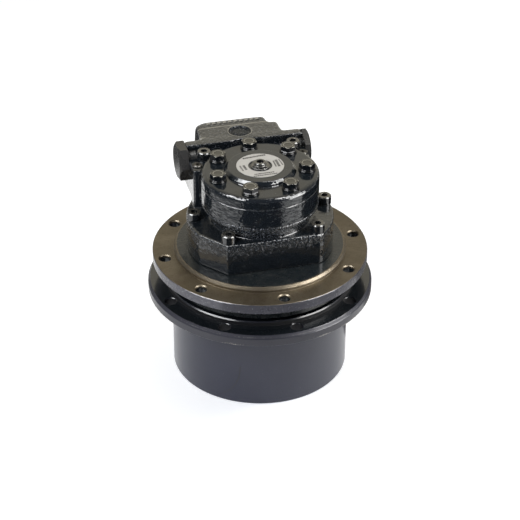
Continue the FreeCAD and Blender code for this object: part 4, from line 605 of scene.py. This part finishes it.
def hex_heads(name, places, flats, low, high, flange_r, flange_h, dish_r, dish):
    """Hexagon bolt heads with a bearing flange, 30 degree chamfers and a dished top. places is [(x, y, turn)]."""
    bm = bmesh.new()
    around = 96
    inner = flats / 2 * 0.955
    for px, py, turn in places:
        rings = []

        def ring(radius_of, z_of):
            row = []
            for i in range(around):
                a = 2 * math.pi * i / around
                rr = radius_of(a)
                row.append(bm.verts.new((px + rr * math.cos(a + turn), py + rr * math.sin(a + turn), z_of(a, rr))))
            rings.append(row)

        reach = lambda a: hex_reach(a, flats)
        soft = lambda a: min(reach(a), flats / 2 * 1.125)
        cone = lambda a, rr: high - max(0.0, rr - inner) * math.tan(math.radians(32))
        ring(lambda a: flange_r - 0.0003, lambda a, r: low)
        ring(lambda a: flange_r, lambda a, r: low + 0.0003)
        ring(lambda a: flange_r - 0.00005, lambda a, r: low + flange_h * 0.55)
        ring(lambda a: flange_r - 0.0005, lambda a, r: low + flange_h * 0.95)
        ring(lambda a: soft(a) + 0.00045, lambda a, r: low + flange_h + 0.00012)
        ring(lambda a: soft(a) + 0.00008, lambda a, r: low + flange_h + 0.00055)
        ring(soft, lambda a, r: low + flange_h + 0.0011)
        ring(soft, lambda a, r: low + flange_h + 0.0014)
        ring(soft, lambda a, r: cone(a, r) - 0.00055)
        ring(soft, lambda a, r: cone(a, r) - 0.00030)
        ring(lambda a: soft(a) - 0.00008, lambda a, r: cone(a, r) - 0.00010)
        ring(lambda a: soft(a) - 0.00030, lambda a, r: cone(a, r))
        ring(lambda a: inner + 0.0002, lambda a, r: high - 0.00012)
        ring(lambda a: inner - 0.00025, lambda a, r: high)
        ring(lambda a: dish_r + 0.00035, lambda a, r: high)
        ring(lambda a: dish_r, lambda a, r: high - 0.00008)
        ring(lambda a: dish_r - 0.00045, lambda a, r: high - dish * 0.8)
        ring(lambda a: dish_r - 0.0009, lambda a, r: high - dish)
        ring(lambda a: dish_r * 0.4, lambda a, r: high - dish * 0.93)
        for p, q in zip(rings, rings[1:]):
            for i in range(around):
                j = (i + 1) % around
                bm.faces.new((p[i], p[j], q[j], q[i]))
        bm.faces.new(rings[-1])
        bm.faces.new(list(reversed(rings[0])))
    return from_bm(bm, name)


BOLTS = []
for i, turn in enumerate((4.0, 33.0, 15.0, 52.0, 27.0, 9.0, 41.0)):
    a = math.radians(90 + i * 360 / 7)
    BOLTS.append((0.0425 * math.cos(a), 0.0425 * math.sin(a), math.radians(turn)))
low_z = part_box("cover_washers")[1].z
high_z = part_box("cover_bolts")[1].z
link(hex_heads("cover_bolt_heads", BOLTS, 0.0130, low_z, high_z, 0.0074, 0.0011, 0.0047, 0.00055), "cover_bolt_heads", "frame_side",
     M["bolt"], 28, replaced=("cover_bolts",))



def bars(name, rows, z, high, body, mat):
    """Plain raised dashes lying flat. rows is [(x, y, direction in degrees, length, width)], metres."""
    bm = bmesh.new()
    for x, y, deg, length, width in rows:
        c, s = math.cos(math.radians(deg)), math.sin(math.radians(deg))
        loops = []
        for inset, zz in ((0.0, z), (0.0, z + high * 0.6), (high * 0.4, z + high)):
            hl, hw = length / 2 - inset, width / 2 - inset
            loops.append([bm.verts.new((x + c * u - s * v, y + s * u + c * v, zz)) for u, v in ((-hl, -hw), (hl, -hw), (hl, hw), (-hl, hw))])
        for p, q in zip(loops, loops[1:]):
            for i in range(4):
                j = (i + 1) % 4
                bm.faces.new((p[i], p[j], q[j], q[i]))
        bm.faces.new(loops[-1])
        bm.faces.new(list(reversed(loops[0])))
    return link(from_bm(bm, name), name, body, mat, 30)


LABEL_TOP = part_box("cover_label")[1].z
marks = []
rng = np.random.default_rng(7)
for r_mid, centre, span, wide in ((0.0144, 186, 38, 0.0022), (0.0178, 186, 32, 0.0014), (0.0136, 0, 44, 0.0014), (0.0164, 2, 42, 0.0024), (0.0197, 6, 34, 0.0011),
                                  (0.0147, -88, 66, 0.0017), (0.0178, -88, 64, 0.0017), (0.0168, 96, 66, 0.0023)):
    # each line of marks is straight, lying across the radius at its centre
    a = math.radians(centre)
    half = r_mid * math.tan(math.radians(span / 2))
    u = -half
    while u < half:
        dash = 0.0008 + 0.0010 * rng.random()
        if u + dash > half:
            break
        m = u + dash / 2
        marks.append((r_mid * math.cos(a) - m * math.sin(a), r_mid * math.sin(a) + m * math.cos(a), centre + 90, dash, wide))
        u += dash + 0.00042
bars("label_bars", marks, LABEL_TOP - 0.00001, 0.00005, "frame_side", M["ink"])

# a long scratch down the drum, as a thin bright burr beside a dark furrow
SCRATCH = ((-113.5, 41.7), (-115.2, 41.5), (-116.7, 40.6), (-116.9, 34.5), (-117.6, 28.0), (-120.0, 20.5), (-122.8, 14.6), (-127.5, 8.2), (-133.6, 3.4))


def ribbon(name, points, radius, width, lift, body, mat, steps=14):
    bm = bmesh.new()
    pts = []
    for (a0, z0), (a1, z1) in zip(points, points[1:]):
        for i in range(steps):
            t = i / steps
            pts.append((a0 + (a1 - a0) * t, z0 + (z1 - z0) * t))
    pts.append(points[-1])
    rows = []
    for i, (a, z) in enumerate(pts):
        t = i / (len(pts) - 1)
        wob = 0.35 * math.sin(i * 2.4) + 0.25 * math.sin(i * 0.9 + 1.0)
        w = width * (0.45 + 0.55 * abs(math.sin(i * 0.37 + 0.6))) * min(1.0, 8 * t + 0.2, 8 * (1 - t) + 0.2)
        row = []
        for k, out in ((-1.0, 0.0), (-0.35, lift), (0.35, lift), (1.0, 0.0)):
            ang = math.radians(a) + (k * w + wob * 0.00012) / radius
            rr = radius + 0.000060 + out
            row.append(bm.verts.new((rr * math.cos(ang), rr * math.sin(ang), z / 1000)))
        rows.append(row)
    for p, q in zip(rows, rows[1:]):
        for j in range(3):
            bm.faces.new((p[j], p[j + 1], q[j + 1], q[j]))
    return link(from_bm(bm, name), name, body, mat)


ribbon("drum_scratch", SCRATCH, 0.0825, 0.00050, 0.00003, "hub", M["furrow"])

# ------------------------------------------------------------------ floor, lights, camera

floor_mesh = bpy.data.meshes.new("floor")
bm = bmesh.new()
bmesh.ops.create_grid(bm, x_segments=24, y_segments=24, size=4.0)
bm.to_mesh(floor_mesh)
bm.free()
floor = bpy.data.objects.new("floor", floor_mesh)
bpy.context.scene.collection.objects.link(floor)
floor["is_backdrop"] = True
g = Graph("floor_paper")
dress(floor, g.set(Base_Color=g.mix(g.noise(3.0, 2.0), (0.80, 0.80, 0.80), (0.83, 0.83, 0.825)), Roughness=0.75,
                   Emission_Color=(0.93, 0.95, 1.0, 1.0), Emission_Strength=0.50, Normal=g.bump(g.noise(500, 2.0), 0.00005, 0.3)))


def flag(name, start, end, near, far, height, tone=0.004):
    """A black studio flag: a ring sector near the floor that only reflections see. Angles in degrees from the camera's side, to the right."""
    bm = bmesh.new()
    rows = []
    for i in range(25):
        a = math.radians(start + (end - start) * i / 24 - 90 - 14.2)
        rows.append([bm.verts.new((r * math.cos(a), r * math.sin(a), height)) for r in (near, far)])
    for p, q in zip(rows, rows[1:]):
        bm.faces.new((p[0], q[0], q[1], p[1]))
    mesh = bpy.data.meshes.new(name)
    bm.to_mesh(mesh)
    bm.free()
    obj = bpy.data.objects.new(name, mesh)
    bpy.context.scene.collection.objects.link(obj)
    k = Graph(name + "_cloth")
    dress(obj, k.set(Base_Color=k.mix(k.noise(40, 2.0), (tone, tone, tone), (tone * 1.3, tone * 1.3, tone * 1.35)), Roughness=0.95, Specular_IOR_Level=0.0))
    obj.visible_camera = False
    obj.visible_diffuse = False
    obj.visible_shadow = False
    obj.visible_transmission = False
    obj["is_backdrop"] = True
    return obj


flag("flag_front", -34, 41, 0.235, 1.3, 0.004)
flag("flag_right", 83, 172, 0.245, 1.3, 0.004)
# painted shade: a grey flag standing for the floor's shade beside the drum's right side, seen only in reflections
flag("floor_shade_flag", 104, 192, 0.0835, 0.2445, 0.004, 0.20)
flag("flag_gap", 41.5, 82.5, 0.245, 0.303, 0.004, 0.05)
flag("flag_left", -132, -103, 0.245, 1.3, 0.004)
flag("flag_back_left", -178, -136, 0.385, 1.3, 0.004, 0.05)
flag("flag_left_far", -102.5, -34.5, 0.352, 1.3, 0.004, 0.30)

world = bpy.data.worlds.new("studio")
world.use_nodes = True
bpy.context.scene.world = world
nt = world.node_tree
nt.nodes.clear()
wo = nt.nodes.new("ShaderNodeOutputWorld")
bg = nt.nodes.new("ShaderNodeBackground")
nt.links.new(bg.outputs[0], wo.inputs[0])
tc = nt.nodes.new("ShaderNodeTexCoord")
dot = nt.nodes.new("ShaderNodeVectorMath")
dot.operation = "DOT_PRODUCT"
nt.links.new(tc.outputs["Generated"], dot.inputs[0])
dot.inputs[1].default_value = (0.2068, 0.8171, 0.5381)
mr = nt.nodes.new("ShaderNodeMapRange")
mr.interpolation_type = "SMOOTHSTEP"
nt.links.new(dot.outputs["Value"], mr.inputs["Value"])
mr.inputs["From Min"].default_value = 0.30
mr.inputs["From Max"].default_value = 0.86
mx = nt.nodes.new("ShaderNodeMix")
mx.data_type = "RGBA"
nt.links.new(mr.outputs[0], mx.inputs[0])
mx.inputs[6].default_value = (0.115, 0.125, 0.150, 1)
mx.inputs[7].default_value = (0.78, 0.73, 0.60, 1)
nt.links.new(mx.outputs[2], bg.inputs["Color"])
bg.inputs["Strength"].default_value = 1.0


def card(name, az0, az1, el0, el1, strength, color=(1.0, 1.0, 1.0), far=1.35):
    """A bright sheet that only reflections see, given by its directions in degrees: azimuth from the camera's side to the right, and elevation."""
    bm = bmesh.new()
    rows = []
    for i in range(13):
        a = math.radians(az0 + (az1 - az0) * i / 12 - 90 - 14.2)
        row = []
        for j in range(9):
            e = math.radians(el0 + (el1 - el0) * j / 8)
            row.append(bm.verts.new((far * math.cos(e) * math.cos(a), far * math.cos(e) * math.sin(a), 0.19 + far * math.sin(e))))
        rows.append(row)
    for p, q in zip(rows, rows[1:]):
        for j in range(8):
            bm.faces.new((p[j], q[j], q[j + 1], p[j + 1]))
    mesh = bpy.data.meshes.new(name)
    bm.to_mesh(mesh)
    bm.free()
    obj = bpy.data.objects.new(name, mesh)
    bpy.context.scene.collection.objects.link(obj)
    k = Graph(name + "_cloth")
    dress(obj, k.set(Base_Color=k.mix(k.noise(8, 2.0), (0.0, 0.0, 0.0), (0.002, 0.002, 0.002)), Roughness=1.0, Specular_IOR_Level=0.0,
                     Emission_Color=(*color, 1.0), Emission_Strength=strength))
    obj.visible_camera = False
    obj.visible_diffuse = False
    obj.visible_shadow = False
    obj.visible_transmission = False
    obj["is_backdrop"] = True
    return obj


card("card_left", -88, -34, 34, 62, 16.0, (0.97, 0.985, 1.0))
card("card_right", 54, 88, -2, 84, 13.0, (1.0, 0.995, 0.98))


def softbox(name, spot, aim, size, size_y, power, color=(1, 1, 1)):
    light = bpy.data.lights.new(name, "AREA")
    light.shape = "RECTANGLE"
    light.size, light.size_y = size, size_y
    light.energy = power
    light.color = color
    obj = bpy.data.objects.new(name, light)
    obj.location = spot
    obj.rotation_euler = (Vector(aim) - Vector(spot)).to_track_quat("-Z", "Y").to_euler()
    obj.visible_glossy = False
    bpy.context.scene.collection.objects.link(obj)
    return obj


# two soft boxes beside the camera's axis
softbox("left_box", (-0.88, -0.55, 1.02), (0, 0, 0.15), 0.42, 0.60, 11.0, (0.97, 0.985, 1.0))
softbox("right_box", (0.98, -0.06, 0.98), (0, 0, 0.15), 0.42, 0.60, 10.5, (1.0, 0.99, 0.97))

eye = Vector((-0.3524, -1.3929, 1.0235))
ahead = Vector((0.2068, 0.8171, -0.5381)).normalized()
right = ahead.cross(Vector((0, 0, 1))).normalized()
up = right.cross(ahead)
turn = Matrix((right, up, -ahead)).transposed().to_4x4()
roll = Matrix.Rotation(math.radians(0.196), 4, "Z")
cam_data = bpy.data.cameras.new("camera")
cam_data.lens = 126.08
cam_data.sensor_width = 36.0
cam_data.sensor_fit = "HORIZONTAL"
cam_data.clip_end = 20.0
cam = bpy.data.objects.new("camera", cam_data)
cam.matrix_world = Matrix.Translation(eye) @ turn @ roll
bpy.context.scene.collection.objects.link(cam)
bpy.context.scene.camera = cam
bpy.context.scene.view_settings.view_transform = "Standard"
bpy.context.scene.view_settings.look = "None"

{"cad": plain(cad_box), "visual": plain(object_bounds())}
